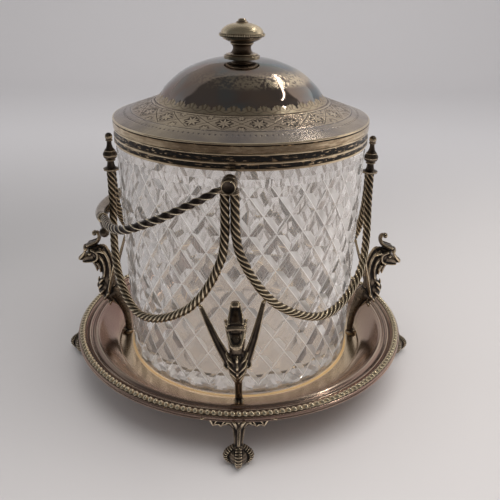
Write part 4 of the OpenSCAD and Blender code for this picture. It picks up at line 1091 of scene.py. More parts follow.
def tray():
    def slope(u):
        return (SLOPE_R + 11 * u, TRAY_FLOOR_Z + 0.9 + 9.5 * u ** 1.6)

    s = SHOULDER_R
    top = smooth_line([slope(u) for u in np.linspace(0, 1, 12)]
                      + [(s + 0.55, BORDER_Z0 - 0.25), (s + 1.1, BORDER_Z0 + 0.02),
                         (s + 1.7, BORDER_Z0 - 0.05), (s + 2.4, BORDER_Z0 - 0.3),
                         (s + 3.1, BORDER_Z0 - 0.75), (s + 4.0, BORDER_Z0 - 0.92),
                         (s + 4.8, BORDER_Z0 - 0.7), (s + 5.2, BORDER_Z0 - 0.1),
                         (s + 5.7, BORDER_Z0 + 0.15), (s + 6.2, BORDER_Z0 - 0.1),
                         (s + 6.6, BORDER_Z0 - 0.72), (s + 7.3, BORDER_Z0 - 0.7),
                         (s + 7.9, BORDER_Z0 + 0.2), (s + 8.25, BEAD_SEAT_Z)], 3)
    outer = [(TRAY_R - 0.55, BEAD_SEAT_Z), (TRAY_R - 0.15, BEAD_SEAT_Z - 0.15), (TRAY_R, BEAD_SEAT_Z - 0.5),
             (TRAY_R - 0.15, BEAD_SEAT_Z - 0.9), (TRAY_R - 0.45, BEAD_SEAT_Z - 1.2),
             (TRAY_R - 0.5, BAND_FOOT_Z + 0.9), (TRAY_R - 0.1, BAND_FOOT_Z + 0.55),
             (TRAY_R, BAND_FOOT_Z + 0.25), (TRAY_R - 0.2, BAND_FOOT_Z), (TRAY_R - TRAY_WALL, BAND_FOOT_Z),
             (TRAY_R - TRAY_WALL, BEAD_SEAT_Z - TRAY_WALL - 0.2), (s + 7.5, BORDER_Z0 - 2.3),
             (s + 0.9, BORDER_Z0 - 2.3)]
    under = [(slope(u)[0] + 0.95, slope(u)[1] - 1.2) for u in (0.83, 0.66, 0.5, 0.33, 0.16, 0)]
    under += [(WELL_R + 0.75, TRAY_FLOOR_Z - TRAY_WALL), (0, TRAY_FLOOR_Z - TRAY_WALL)]
    floor = [(0, TRAY_FLOOR_Z), (20, TRAY_FLOOR_Z), (60, TRAY_FLOOR_Z), (WELL_R - 0.6, TRAY_FLOOR_Z),
             (WELL_R, TRAY_FLOOR_Z + 0.1), (WELL_R + 0.3, TRAY_FLOOR_Z + 0.5)]
    shape = turned(floor + list(top) + outer + under, 288)
    _, r, z = about(shape)
    mark = np.full(len(r), 0.42)
    for at, wide, deep in ((WELL_R + 0.4, 0.7, 0.3), (s + 3.9, 1.0, 0.42), (s + 7.0, 0.7, 0.5),
                           (s + 0.1, 0.6, 0.12), (s + 1.7, 1.0, -0.25), (s + 5.7, 0.5, -0.32),
                           (TRAY_R - 0.1, 0.12, -0.2)):
        mark += deep * np.clip(1 - np.abs(r - at) / wide, 0, 1)
    mark += 0.28 * ((z < BEAD_SEAT_Z - 1.0) & (r > TRAY_R - 0.6) & (z > BAND_FOOT_Z + 0.7))
    mark += 0.2 * (z < TRAY_FLOOR_Z - 0.5)
    make_piece("tray_dish_plate", shape, TRAY_PLATE, "stand", ["tray_dish"],
               {"hollow": mark.clip(0, 1)}, 30, True)


TRAY_BEADS, BEAD_SLANT = 196, 24


def tray_beads():
    """A row of slanted oval beads on a wire."""
    z = BEAD_SEAT_Z + 0.35
    bead, faces = ball((0, 0, 0), (1.72, 1.30, 1.22), 14, 8)
    slanted = bead @ spin(BEAD_SLANT).T
    shapes = []
    for k in range(TRAY_BEADS):
        a = 2 * math.pi * k / TRAY_BEADS
        seat = np.array([BEAD_RING_R * math.cos(a), BEAD_RING_R * math.sin(a), z])
        shapes.append((slanted @ spin(360 * k / TRAY_BEADS).T + seat, faces))
    shapes.append(turned([(BEAD_RING_R - 1.65, BEAD_SEAT_Z + 0.03), (BEAD_RING_R + 1.65, BEAD_SEAT_Z + 0.03),
                          (BEAD_RING_R + 1.2, BEAD_SEAT_Z + 0.5), (BEAD_RING_R - 1.2, BEAD_SEAT_Z + 0.5)],
                         256))
    shape = joined(shapes)
    height = shape[0][:, 2]
    mark = 0.90 - 0.90 * np.clip((height - BEAD_SEAT_Z - 0.15) / 0.75, 0, 1) ** 0.8
    make_piece("tray_bead_row", shape, BEAD_PLATE, "stand", ["tray_bead_wire"], {"hollow": mark}, 80)


tray()
tray_beads()


# ---------------------------------------------------------------- ropes

def around(angle, r, z):
    a = math.radians(angle)
    return [r * math.cos(a), r * math.sin(a), z]


SWAG_ROUTE = [
    (0.044, 0.867, 0), (0.069, 0.712, 0), (0.108, 0.619, 0), (0.149, 0.534, 0), (0.195, 0.461, 0),
    (0.247, 0.387, 0), (0.312, 0.313, 0.2), (0.385, 0.243, 0.4), (0.475, 0.181, 0.8), (0.57, 0.127, 1.2),
    (0.68, 0.076, 1.6), (0.79, 0.037, 1.8), (0.9, 0.011, 1.95), (1, 0, 2)]
PAIR_ANGLE = math.degrees(math.atan(PAIR_OFF / POST_R))


def swag_z(share, way):
    low = SWAG_LOW_Z + way * LEAN_LIFT
    return low + share * (FINIAL_Z - low)


def swag_angle(share, plumb, way):
    return max(PAIR_ANGLE, share * (45 + (way if plumb else -way) * LOW_SHIFT))


def lean_at(z):
    share = min(1, max(0, (z - SWAG_LOW_Z) / (PIVOT_Z - SWAG_LOW_Z)))
    return UPRIGHT_LEAN * math.sin(math.radians(90 * share))


def half_swag(plumb, way):
    turn, top_z = (0, FINIAL_Z) if plumb else (way, BLOCK_FOOT_Z)
    run_z = swag_z(SWAG_ROUTE[0][1], way)
    start = [around(PAIR_ANGLE - turn * lean_at(z), POST_R, z) for z in (top_z, (top_z + run_z) / 2)]
    return start + [around(swag_angle(u, plumb, way) - turn * lean_at(swag_z(v, way)), POST_R - inset,
                           swag_z(v, way))
                    for u, v, inset in SWAG_ROUTE]


def swag_path(side):
    way = 1 if leans(side) else -1
    first = half_swag(not leans(side), way)
    last = half_swag(leans(side), way)
    path = first + [[p[1], p[0], p[2]] for p in last[:-1][::-1]]
    return smooth_line(path, 2)


def even(path, step):
    """The same line with its points evenly spaced."""
    line = smooth_line(path, 6)
    length = np.concatenate([[0], np.cumsum(np.linalg.norm(np.diff(line, axis=0), axis=1))])
    n = max(2, round(length[-1] / step))
    at = np.linspace(0, length[-1], n + 1)
    return np.stack([np.interp(at, length, line[:, k]) for k in range(3)], 1), at


def twisted(path, radii, out, strands, lay, profile, sides=60, step=0.35, hand=1):
    """A rope along a path: profile(share of a strand) gives its depth below the radius as a
    share, and its hollow mark."""
    line, s = even(path, step)
    r = np.interp(s / s[-1], np.linspace(0, 1, len(radii)), radii)
    ahead = unit(np.gradient(line, axis=0))
    out = np.array([out(p) for p in line], float)
    across = unit(out - np.sum(out * ahead, 1, keepdims=True) * ahead)
    beside = np.cross(ahead, across)
    a = np.arange(sides) * 2 * math.pi / sides
    share = (a[None, :] / (2 * math.pi) * strands + hand * s[:, None] * strands / lay) % 1
    depth, mark = profile(share)
    radius = r[:, None] * (1 - depth)
    rings = (line[:, None] + (radius * np.cos(a))[..., None] * across[:, None]
             + (radius * np.sin(a))[..., None] * beside[:, None])
    n = len(line)
    points = np.vstack([rings.reshape(-1, 3), line[0], line[-1]])
    i, j = np.meshgrid(np.arange(n - 1), np.arange(sides), indexing="ij")
    on = (j + 1) % sides
    faces = np.stack([i * sides + j, i * sides + on, (i + 1) * sides + on, (i + 1) * sides + j],
                     -1).reshape(-1, 4).tolist()
    faces += [[n * sides, (k + 1) % sides, k] for k in range(sides)]
    faces += [[n * sides + 1, (n - 1) * sides + k, (n - 1) * sides + (k + 1) % sides] for k in range(sides)]
    return (points, faces), np.concatenate([mark.ravel(), [0.9, 0.9]])


def strand_profile(share):
    """Plump strands with deep grooves, each with a thin wire laid beside it."""
    side = np.abs(share - 0.40) / 0.40
    wire = np.abs(share - 0.89) / 0.10
    plump = 0.36 * (1 - np.sqrt(np.clip(1 - side ** 2, 0.02, 1)))
    thin = 0.17 + 0.2 * (1 - np.sqrt(np.clip(1 - wire ** 2, 0.02, 1)))
    mark = np.minimum(1.15 * side ** 1.6 - 0.04, 0.30 + 0.7 * wire ** 2)
    return np.minimum(plump, thin), np.clip(mark, 0, 1)


def flute_profile(share):
    """Wide hollow flutes between thin round fillets."""
    near = np.minimum(share, 1 - share) / 0.5
    flute = np.clip((near - 0.26) / 0.74, 0, 1)
    depth = np.where(near < 0.26, 0.08 * (near / 0.26) ** 2, 0.08 + 0.16 * np.sin(flute * math.pi / 2))
    mark = np.where(near < 0.26, 0.35 * (near / 0.26) ** 2, 0.60 + 0.12 * np.sin(flute * math.pi))
    return depth, mark


SWAG_NAMES = {FRONT: "swag_front_right", RIGHT: "swag_back_right", BACK: "swag_back_left",
              LEFT: "swag_front_left"}


def swags():
    for side, node in SWAG_NAMES.items():
        path = swag_path(side) @ spin(side).T
        shape, mark = twisted(path, [ROPE_R] * 2, lambda p: (p[0], p[1], 0), 5, 17.5, strand_profile)
        height = shape[0][:, 2]
        mark = np.clip(mark + 0.20 * np.clip((height - 78) / 30, 0, 1), 0, 1)
        make_piece("twisted_" + node, shape, ROPE_PLATE, "stand", [node], {"hollow": mark}, 180)


swags()


# ---------------------------------------------------------------- pivots and finials

def pivots():
    for name, side in (("front", FRONT), ("back", BACK)):
        turn = spin(side - UPRIGHT_LEAN)
        tip = np.array([POST_R, 0, PIVOT_Z])
        # Boss with a rounded edge, its saddle over the two ropes and a collar round each
        boss = turned([(0, -BLOCK_HALF_T), (3.1, -BLOCK_HALF_T), (BLOCK_R, -BLOCK_HALF_T + 0.6),
                       (BLOCK_R, 1.6), (3.2, BLOCK_HALF_T), (0, BLOCK_HALF_T)], 64)
        shapes = [placed(boss, spin(90, "y"))]
        for m in (1, -1):
            shapes.append(tube([(0, m * 0.6, -0.5), (0, m * 1.9, -3.0), (0, m * 2.3, -5.0)],
                               [1.9, 2.1, 2.3], sides=16))
        whole = [placed(moved(s, tip), turn) for s in shapes]
        cast("pivot_boss_" + name, whole, 0.22, "stand", ["pivot_block_" + name], 2)
        shaft = 2 * BLOCK_HALF_T + 0.2 + 2.6 + 0.2
        h = PIN_HEAD_R
        head = [(0, 0.3), (1.5, 0.3), (1.5, shaft), (2.5, shaft), (h - 0.15, shaft + 0.5), (h, shaft + 1.2),
                (h, shaft + 1.75), (h - 0.15, shaft + PIN_HEAD_T), (h - 0.4, shaft + 1.85),
                (2.5, shaft + 1.1), (1.5, shaft + 0.65), (0, shaft + 0.55)]
        shape = turned(head, 64)
        _, r, z = about(shape)
        mark = np.where(z > shaft + 0.3, 0.05 + 0.62 * np.clip((2.95 - r) / 0.4, 0, 1), 0.7)
        lying = placed(placed(shape, spin(90, "y"), (POST_R - BLOCK_HALF_T, 0, PIVOT_Z)), turn)
        make_piece("pivot_cup_" + name, lying, CAST_PLATE, "stand", ["pivot_pin_" + name],
                   {"hollow": mark}, 40, True)


FINIAL_LINE = [
    (1.0, 0.0), (1.02, 0.025), (0.98, 0.05), (0.66, 0.075), (0.52, 0.12), (0.46, 0.19), (0.44, 0.24),
    (0.6, 0.255), (0.64, 0.275), (0.58, 0.295), (0.78, 0.33), (0.9, 0.38), (0.92, 0.42), (0.88, 0.46),
    (0.76, 0.5), (0.7, 0.515), (0.72, 0.53), (0.64, 0.55), (0.46, 0.6), (0.36, 0.66), (0.31, 0.73),
    (0.33, 0.775), (0.44, 0.79), (0.46, 0.81), (0.38, 0.83), (0.45, 0.86), (0.48, 0.9), (0.4, 0.955),
    (0.2, 0.99), (0, 1)]


def finials():
    line = smooth_line([(r * FINIAL_FOOT_R, z * FINIAL_H) for r, z in FINIAL_LINE], 3)
    line = np.maximum(line, 0)
    shape = turned([(0, 0)] + list(line), 64)
    _, _, z = about(shape)
    share = z / FINIAL_H
    mark = np.full(len(z), 0.62)
    for at, wide in ((0.03, 0.03), (0.275, 0.02), (0.53, 0.018), (0.81, 0.02), (0.9, 0.08), (0.40, 0.02)):
        mark -= 0.5 * np.clip(1 - np.abs(share - at) / wide, 0, 1)
    for name, side in (("right", RIGHT), ("left", LEFT)):
        here = moved(moved(shape, (0, 0, FINIAL_Z)), (math.cos(math.radians(side)) * POST_R, 0, 0))
        make_piece("turned_finial_" + name, here, CAST_PLATE, "stand", ["finial_" + name],
                   {"hollow": mark.clip(0, 1)}, 50, True)


pivots()
finials()


# ---------------------------------------------------------------- swing handle

BAIL_AXES = spin(-UPRIGHT_LEAN) @ spin(180 - math.degrees(BAIL_TILT), "y")


def in_bail(points):
    """From the handle's frame (out to the grip, along the pivots, underside) to the jar's frame."""
    return np.asarray(points, float) @ BAIL_AXES.T + np.array([0, 0, PIVOT_Z])


def grip_point(a):
    return np.array([BAIL_REACH - GRIP_ARC_R * (1 - math.cos(a)), GRIP_ARC_R * math.sin(a), 0])


ARM_DIR = np.array([-math.sin(GRIP_END_A), math.cos(GRIP_END_A), 0])
ROPE_SEAT = grip_point(GRIP_END_A) + GRIP_COLLAR_W * ARM_DIR
ARM_ROUTE = [(0.155, 0.99), (0.27, 1), (0.38, 0.998), (0.51, 0.959), (0.615, 0.899), (0.708, 0.783),
             (0.802, 0.615)]


def arm_points():
    points = [(EYE_NECK_S, EYE_Y, 0), (EYE_NECK_S + 3.2, 0.55 * EYE_Y + 0.45 * ARM_Y, 0)]
    points += [(u * BAIL_REACH, v * ARM_Y, 0) for u, v in ARM_ROUTE]
    return points + [tuple(ROPE_SEAT + 2 * GRIP_COLLAR_W * ARM_DIR), tuple(ROPE_SEAT)]


def handle():
    arm = np.array(arm_points(), float)
    under = BAIL_AXES @ np.array([0, 0, 1.0])
    for name, m in (("front", -1), ("back", 1)):
        flat = smooth_line(arm * np.array([1, m, 1]), 2)
        radii = np.minimum(ROPE_R, 0.8 * ROPE_R + 0.2 * ROPE_R * flat[:, 0] / (0.25 * BAIL_REACH))
        flat = np.vstack([flat[0] - np.array([2.4, 0, 0]), flat])
        radii = np.concatenate([[1.45], radii])
        shape, mark = twisted(in_bail(flat), radii, lambda p: under, 3, 15.0, flute_profile, hand=m)
        make_piece("fluted_arm_" + name, shape, DARK_ROPE_PLATE, "bail", ["bail_rope_" + name],
                   {"hollow": mark}, 180)
        # Eye on the pivot pin, with a rounded rim and a neck
        rim = turned([(1.56, -1.1), (2.4, -1.3), (2.85, -0.9), (3.0, 0), (2.85, 0.9), (2.4, 1.3),
                      (1.56, 1.1)], 48)
        ring = placed(rim, spin(90, "x"), (0, m * EYE_Y, 0))
        neck = tube([(2.3, m * EYE_Y, 0), (4.2, m * EYE_Y, 0), (EYE_NECK_S, m * EYE_Y, 0)],
                    [1.15, 1.25, 1.5], sides=16)
        eye = joined([ring, neck])
        make_piece("handle_eye_" + name, (in_bail(eye[0]), eye[1]), CAST_PLATE, "bail", ["bail_eye_" + name],
                   {"hollow": np.full(len(eye[0]), 0.42)}, 50)
        # Ring collar with a ball that hangs beside it
        w, c = GRIP_COLLAR_W, GRIP_COLLAR_R
        line = smooth_line([(0.8 * c, 0), (c, 0.15 * w), (c + 0.02, 0.3 * w), (0.98 * c, 0.45 * w),
                            (0.82 * c, 0.52 * w), (0.84 * c, 0.6 * w), (0.95 * c, 0.72 * w),
                            (0.93 * c, 0.85 * w), (0.8 * c, w)], 3)
        collar_ring = turned([(0, 0)] + list(line) + [(0, w)], 48)
        here = grip_point(GRIP_END_A) * np.array([1, m, 1])
        turn = spin(m * math.degrees(GRIP_END_A)) @ spin(-90 * m, "x")
        drop_dir = unit(np.array([0.62, 0.3 * m, 0.72]))
        middle = (grip_point(GRIP_END_A) + 0.5 * w * ARM_DIR) * np.array([1, m, 1])
        beside = (arm[-3] + arm[-2]) / 2 * np.array([1, m, 1])
        foot = middle + (c - 0.3) * drop_dir
        drop = beside + (ROPE_R + DROP_BALL_R + 0.4) * drop_dir
        parts = [placed(collar_ring, turn, here),
                 tube([foot, (foot + drop) / 2, drop], [1.3, 1.0, 1.2], side=(0, 0.3, 1)),
                 ball(drop, DROP_BALL_R, 28, 20)]
        shape = joined([(in_bail(points), faces) for points, faces in parts])
        mark = np.full(len(shape[0]), 0.55)
        mark[:len(collar_ring[0])] = 0.12
        make_piece("handle_collar_" + name, shape, CAST_PLATE, "bail", ["bail_collar_" + name],
                   {"hollow": mark}, 45, True)
    steps = 40
    angles = np.linspace(-GRIP_END_A, GRIP_END_A, 2 * steps + 1) * 0.997
    path = np.array([grip_point(a) for a in angles])
    share = np.linspace(-1, 1, 2 * steps + 1)
    radii = 0.6 * GRIP_R + 0.4 * GRIP_R * np.cos(share * math.pi / 2).clip(0, 1) ** 1.3
    # Fine turned rings near each end of the grip
    for at in (0.90, 0.80):
        radii = radii + 0.22 * np.clip(1 - np.abs(np.abs(share) - at) / 0.03, 0, 1)
    shape = tube(path, radii, side=(0, 0, 1), sides=40, steps=1)
    make_piece("handle_grip", (in_bail(shape[0]), shape[1]), DARK_ROPE_PLATE, "bail", ["bail_grip"],
               {"hollow": np.full(len(shape[0]), 0.3)}, 60)


handle()


# ---------------------------------------------------------------- feet

def foot_shapes():
    """One foot, out along +X: a bat-wing bracket, an ankle and three scaled claws on a ball."""
    shapes = []
    top = BEAD_SEAT_Z - TRAY_WALL
    x0 = BRACKET_R + 0.5 * BRACKET_T

    def at(share, drop, out=0.0):
        return (x0 + out, share * BRACKET_HALF_W, top - drop)

    for m in (1, -1):
        # Web between two scalloped bays, thin, with raised edges
        rows = [((0.10, 0.2), (0.17, 6.8)), ((0.2, 0.1), (0.24, 5.0)), ((0.3, 0.1), (0.32, 4.2)),
                ((0.42, 0.1), (0.42, 3.9)), ((0.54, 0.1), (0.53, 4.2)), ((0.62, 0.1), (0.61, 4.9)),
                ((0.70, 0.1), (0.68, 4.0)), ((0.80, 0.1), (0.78, 3.9)), ((0.90, 0.1), (0.87, 4.6)),
                ((0.96, 0.1), (0.93, 3.0)), ((1.0, 0.1), (0.99, 1.4))]
        web_points, web_faces = [], []
        for (a, d0), (b, d1) in rows:
            for out in (0.3, -0.75):
                web_points += [at(m * a, d0, out), at(m * b, d1, out)]
        for k in range(len(rows) - 1):
            p, q = 4 * k, 4 * (k + 1)
            web_faces += [[p, q, q + 1, p + 1], [p + 2, p + 3, q + 3, q + 2], [p, p + 2, q + 2, q],
                          [p + 1, q + 1, q + 3, p + 3]]
        last = 4 * (len(rows) - 1)
        web_faces += [[0, 1, 3, 2], [last, last + 2, last + 3, last + 1]]
        if m < 0:
            web_faces = [f[::-1] for f in web_faces]
        shapes.append((np.array(web_points), web_faces))
        edge = [at(m * b, d1 - 0.1, 0.45) for _, (b, d1) in rows]
        shapes.append(tube(edge[:6], [0.8, 0.6, 0.5, 0.5, 0.5, 0.6], steps=3))
        shapes.append(tube(edge[5:9], [0.6, 0.5, 0.5, 0.6], steps=3))
        shapes.append(tube(edge[8:], [0.6, 0.5, 0.5], steps=3))
        shapes.append(tube([at(m * 0.22, 0.9, 0.4), at(m * 0.45, 1.8, 0.5), at(m * 0.61, 4.6, 0.5)],
                           [0.35, 0.4, 0.45]))
        shapes.append(tube([at(m * 0.5, 0.7, 0.4), at(m * 0.74, 1.7, 0.5), at(m * 0.87, 4.2, 0.5)],
                           [0.35, 0.4, 0.45]))
        # Leaf tip along the rim of the tray
        shapes.append(tube([at(m * 1.0, 1.0, 0.2), at(m * 1.14, 0.5, 0.1), at(m * 1.3, 0.9, 0.1)],
                           [0.6, 0.5, 0.7]))
        # Curling leaves at the root of the wing
        shapes.append(tube([at(m * 0.14, 6.8, 1.0), at(m * 0.19, 3.8, 1.7), at(m * 0.3, 1.7, 1.9),
                            at(m * 0.40, 2.2, 1.5), at(m * 0.36, 3.3, 1.3)], [0.7, 0.85, 0.8, 0.7, 0.6]))
        shapes.append(tube([at(m * 0.04, 8.2, 1.4), at(m * 0.06, 4.6, 2.2), at(m * 0.15, 1.6, 2.5),
                            at(m * 0.22, 1.2, 2.0)], [0.7, 0.95, 0.85, 0.5]))
    fx = FOOT_R
    ankle_z = CLAW_H - 0.4
    shapes.append(tube([(x0 - 0.4, 0, top - 1), (x0 + 0.7, 0, top - 5), (fx - 0.9, 0, ankle_z + 2.2),
                        (fx - 0.3, 0, ankle_z - 0.8)],
                       [5.4, 3.3, 1.9, 2.2], [1.2, 1.7, 2.0, 2.3], side=(0, 1, 0), sides=20))
    shapes.append(tube([(x0 + 1.8, 0, top - 1.2), (x0 + 2.4, 0.2, top - 4.5), (fx + 1.3, 0, ankle_z + 1.5),
                        (fx + 2.4, 0, ankle_z - 2.0)], [0.9, 1.0, 0.8, 0.9]))
    for m in (1, -1):
        shapes.append(tube([(x0 + 1.0, m * 4.0, top - 2.6), (x0 + 1.6, m * 2.4, top - 5.6),
                            (fx - 0.2, m * 1.6, ankle_z + 1.8), (fx + 0.6, m * 1.9, ankle_z - 1.8)],
                           [0.9, 0.8, 0.7, 0.8]))
    knuckle = 0.49 * CLAW_H
    core = turned([(0, 0.05), (TOE_R, 0.05), (3.6, 1.7), (4.7, 3.6), (5.0, knuckle), (4.5, 8.4),
                   (3.2, 10.2), (2.5, ankle_z), (0, ankle_z)], 40)
    shapes.append(moved(core, (fx, 0, 0)))
    for a in (0, 84, -84):
        turn = spin(a)
        ridge = [(1.6, 0, ankle_z - 0.4), (3.9, 0, 9.8), (5.7, 0, 7.9), (6.4, 0, 5.7), (5.3, 0, 3.1),
                 (3.2, 0, 1.2)]
        line, _ = even(ridge, 1.28)
        n = len(line)
        for k, p in enumerate(line):
            ahead = unit(line[min(k + 1, n - 1)] - line[max(k - 1, 0)])
            tilt = spin(-math.degrees(math.atan2(ahead[2], ahead[0])), "y")
            grow = 0.78 + 0.42 * math.sin(math.pi * min(1, (k + 1.2) / n))
            bead = ball((0, 0, 0), (0.66, 1.62 * grow, 1.22 * grow), 16, 10)
            shapes.append(placed(placed(bead, tilt, p), turn, (fx, 0, 0)))
        shapes.append(placed(tube(ridge, [0.9, 1.1, 1.25, 1.2, 1.0, 0.7]), turn, (fx, 0, 0)))
        shapes.append(placed(ball((3.0, 0, 0.95), (1.15, 0.95, 0.85), 12, 8), turn, (fx, 0, 0)))
    return shapes


def feet():
    shapes = foot_shapes()
    for name, side in SIDES.items():
        here = [placed(s, spin(side)) for s in shapes]
        cast("claw_foot_" + name, here, 0.24, "stand", ["foot_" + name], 1)


feet()


# ---------------------------------------------------------------- griffins

def wing_tip(side, m):
    way = m if leans(side) else -m
    u, v, inset = SWAG_ROUTE[6]
    z = swag_z(v, way)
    a = m * swag_angle(u, not leans(side), way) - (lean_at(z) if leans(side) else 0)
    reach = ROPE_R + 0.8 + 0.15
    return np.array(around(a, POST_R - inset, z)) + reach * np.array(
        [0.67 * m * math.sin(math.radians(a)), -0.67 * m * math.cos(math.radians(a)), -0.74])


def griffin_body():
    """The figure without its wings: +X is out from the jar and z = 0 is the tray's floor."""
    s = []
    # Paw, leg and haunch
    s.append(tube([(0, 0, 0.2), (0, 0, 1.2)], [2.9, 2.6], sides=24, steps=1))
    for y in (-1.7, 0, 1.7):
        s.append(tube([(0.6, y * 0.6, 2.2), (2.2, y, 1.5), (3.1, y, 0.8)], [1.0, 0.9, 0.65]))
    s.append(tube([(0, 0, 1.4), (-0.2, 0, 7), (0.6, 0, 14), (2.4, 0, 19.5), (5.2, 0, 25)],
                  [2.0, 1.9, 2.1, 3.0, 3.9], [2.1, 1.9, 2.0, 2.9, 4.4], sides=18))
    s.append(tube([(1.5, 0, 6), (2.3, 0, 13), (5.6, 0, 20.5)], [0.55, 0.6, 0.7]))
    s.append(ball((7.6, 0, 27.6), (6.2, 4.6, 5.9), 24, 16))
    s.append(ball((11.4, 0, 32.0), (4.8, 4.4, 6.8), 24, 16))
    # Breast of overlapping pointed leaves that tapers towards the leg
    for z, x, half in ((37.0, 15.2, 5.2), (33.2, 16.0, 4.8), (29.4, 15.3, 4.3), (25.8, 13.2, 3.6),
                       (22.4, 10.2, 2.9)):
        for m in (1, -1):
            s.append(tube([(x - 3.0, m * half, z + 1.6), (x - 0.9, m * 0.66 * half, z - 1.0),
                           (x + 0.1, m * 0.14 * half, z - 3.8)], [0.5, 1.0, 0.35], [0.45, 0.75, 0.3]))
        s.append(tube([(x + 0.1, 0, z + 1.2), (x + 0.6, 0, z - 1.2), (x - 0.5, 0, z - 4.2)],
                      [0.35, 0.75, 0.2]))
    for m in (1, -1):
        s.append(tube([(8.5, m * 4.0, 27.5), (7.4, m * 3.7, 24.0), (4.6, m * 2.7, 20.0)], [0.6, 0.8, 0.3]))
    # Thick neck with locks of mane
    s.append(tube([(9.6, 0, 33), (9.8, 0, 39.5), (10.2, 0, 46), (11.8, 0, 51.5), (14.2, 0, 55.2)],
                  [4.3, 3.6, 3.5, 3.8, 3.9], [4.6, 3.6, 3.3, 3.8, 4.4], sides=20))
    s.append(tube([(13.4, 0, 59.0), (9.4, 0, 56.6), (7.2, 0, 51.5), (6.5, 0, 46), (6.0, 0, 40)],
                  [0.9, 1.0, 0.9, 0.8, 0.6]))
    for m in (1, -1):
        s.append(tube([(13.6, m * 2.7, 57.6), (10.1, m * 3.2, 55.0), (8.3, m * 3.2, 50), (7.9, m * 3.0, 44),
                       (8.6, m * 3.6, 38)], [0.8, 0.85, 0.8, 0.7, 0.4]))
        s.append(tube([(13.6, m * 3.9, 54.0), (11.5, m * 3.9, 50.2), (10.7, m * 3.6, 45.0),
                       (11.6, m * 3.7, 39.5)], [0.8, 0.8, 0.75, 0.4]))
        # Locks of the beard
        s.append(tube([(17.0, m * 1.3, 48.6), (15.9, m * 1.5, 45.6), (15.9, m * 1.1, 42.6)], [1.3, 1.1, 0.5]))
        s.append(tube([(14.8, m * 2.4, 48.4), (13.6, m * 2.6, 45.4), (13.8, m * 1.9, 42.0)], [1.2, 1.1, 0.5]))
        # Brow, cheek, eye and the raised frame of the long flat nose
        s.append(tube([(17.8, m * 4.2, 57.6), (14.6, m * 4.4, 55.6), (14.4, m * 4.1, 51.8),
                       (17.2, m * 3.6, 49.6)], [0.9, 0.9, 0.8, 0.7]))
        s.append(tube([(21.3, m * 3.7, 56.6), (23.0, m * 3.3, 53.8), (24.9, m * 2.3, 51.4)],
                      [0.75, 0.7, 0.7]))
        s.append(tube([(15.2, m * 4.2, 56.4), (12.2, m * 4.9, 56.8), (9.8, m * 5.0, 55.2)], [0.9, 0.8, 0.3],
                      side=(0, 0, 1)))
        s.append(ball((19.0, m * 3.6, 54.6), (1.2, 0.8, 0.9), 12, 8))
        s.append(ball((25.2, m * 1.7, 50.9), 1.15, 12, 8))
    s.append(ball((15.8, 0, 54.6), (5.4, 4.0, 4.9), 24, 16))
    s.append(tube([(17.6, 0, 53.0), (21.4, 0, 51.6), (24.2, 0, 50.2)], [3.9, 3.2, 2.2], [3.6, 2.5, 1.6],
                  sides=20))
    s.append(tube([(25.3, -1.9, 50.6), (25.7, 0, 50.8), (25.3, 1.9, 50.6)], [0.95, 1.05, 0.95],
                  side=(0, 0, 1)))
    s.append(tube([(15.8, 0, 50.0), (20.0, 0, 48.7), (24.2, 0, 48.4)], [3.2, 2.5, 1.7], [1.4, 0.95, 0.7],
                  sides=16))
    s.append(tube([(21.0, -4.2, 57.4), (21.9, 0, 58.3), (21.0, 4.2, 57.4)], [1.15, 1.25, 1.15],
                  side=(0, 0, 1)))
    # Crest that rises from the brow and rolls over at its end
    s.append(tube([(20.4, 0, 59.0), (17.6, 0, 60.0), (15.0, 0, 61.0), (13.3, 0, 63.0), (12.8, 0, 65.6),
                   (13.7, 0, 67.3), (15.2, 0, 67.4)], [3.7, 3.4, 2.9, 2.4, 2.2, 1.9, 1.6],
                  [1.3, 1.3, 1.2, 0.95, 0.85, 0.8, 0.75], sides=18))
    for m in (1, -1):
        s.append(tube([(20.6, m * 3.3, 59.6), (17.0, m * 3.1, 61.1), (14.3, m * 2.6, 62.6),
                       (13.3, m * 2.1, 65.6), (14.2, m * 1.8, 67.5)], [0.55, 0.55, 0.5, 0.45, 0.4]))
    s.append(tube([(15.6, -1.5, 66.8), (15.7, 0, 66.9), (15.6, 1.5, 66.8)], [1.35, 1.55, 1.35],
                  side=(0, 0, 1)))
    return s


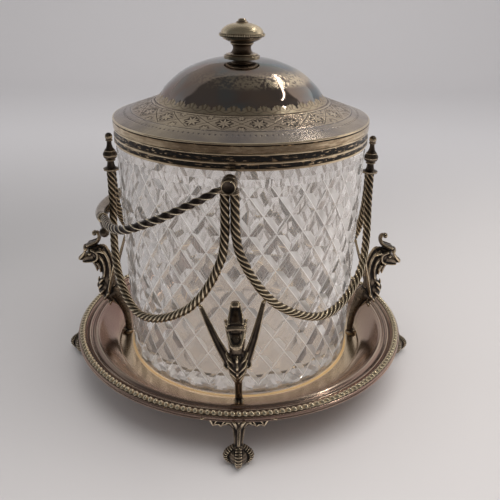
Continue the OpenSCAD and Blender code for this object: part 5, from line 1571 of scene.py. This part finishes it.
def wing(root, tip, m):
    """A tapering trough with raised edges, the outer one rolled into a volute at its foot."""
    run = tip - root
    out = unit(np.array([1.0, 0, 0]) - run[0] / (run @ run) * run)
    across = unit(np.cross(run, out)) * m
    bow = root + 0.45 * run + 0.6 * across
    s = [tube([root - 0.05 * run, root + 0.1 * run + 0.3 * across, bow, tip], [1.9, 2.05, 1.65, 1.1],
              [1.3, 1.1, 0.85, 0.75], side=across, sides=18)]
    outer = [root + 2.1 * across + 0.2 * out, root + 0.12 * run + 2.2 * across + 0.4 * out,
             bow + 1.5 * across + 0.4 * out, tip + 0.75 * across + 0.1 * out]
    inner = [root - 1.9 * across + 0.4 * out, bow - 1.45 * across + 0.4 * out, tip - 0.7 * across + 0.1 * out]
    down = -unit(run)
    hook = [outer[0], root + 0.9 * down + 2.9 * across + 0.5 * out,
            root + 2.3 * down + 2.6 * across + 0.8 * out, root + 3.0 * down + 1.5 * across + 1.0 * out,
            root + 2.4 * down + 0.5 * across + 1.0 * out, root + 1.4 * down + 0.9 * across + 1.1 * out]
    s.append(tube(outer, [0.7, 0.65, 0.6, 0.55]))
    s.append(tube(inner, [0.5, 0.5, 0.45]))
    s.append(tube(hook, [0.75, 0.75, 0.7, 0.65, 0.6, 0.55]))
    s.append(ball(tip, (1.05, 1.05, 1.05), 12, 8))
    return s


def griffins():
    body = griffin_body()
    for name, side in SIDES.items():
        lean = spin(GRIFFIN_LEAN if leans(side) else 0, "x")
        parts = [placed(p, lean) for p in body]
        for m in (1, -1):
            root = lean @ np.array([8.8, 4.1 * m, 31.2])
            tip = wing_tip(side, m) - np.array([GRIFFIN_POS_R, 0, TRAY_FLOOR_Z])
            parts += wing(root, tip, m)
        parts.append(tube([(0, 0, -5.2), (0, 0, 1.0)], [1.45, 1.45], sides=24, steps=1))
        here = [placed(moved(p, (GRIFFIN_POS_R, 0, TRAY_FLOOR_Z)), spin(side)) for p in parts]
        cast("winged_griffin_" + name, here, 0.30, "stand", ["griffin_" + name], 1)


griffins()
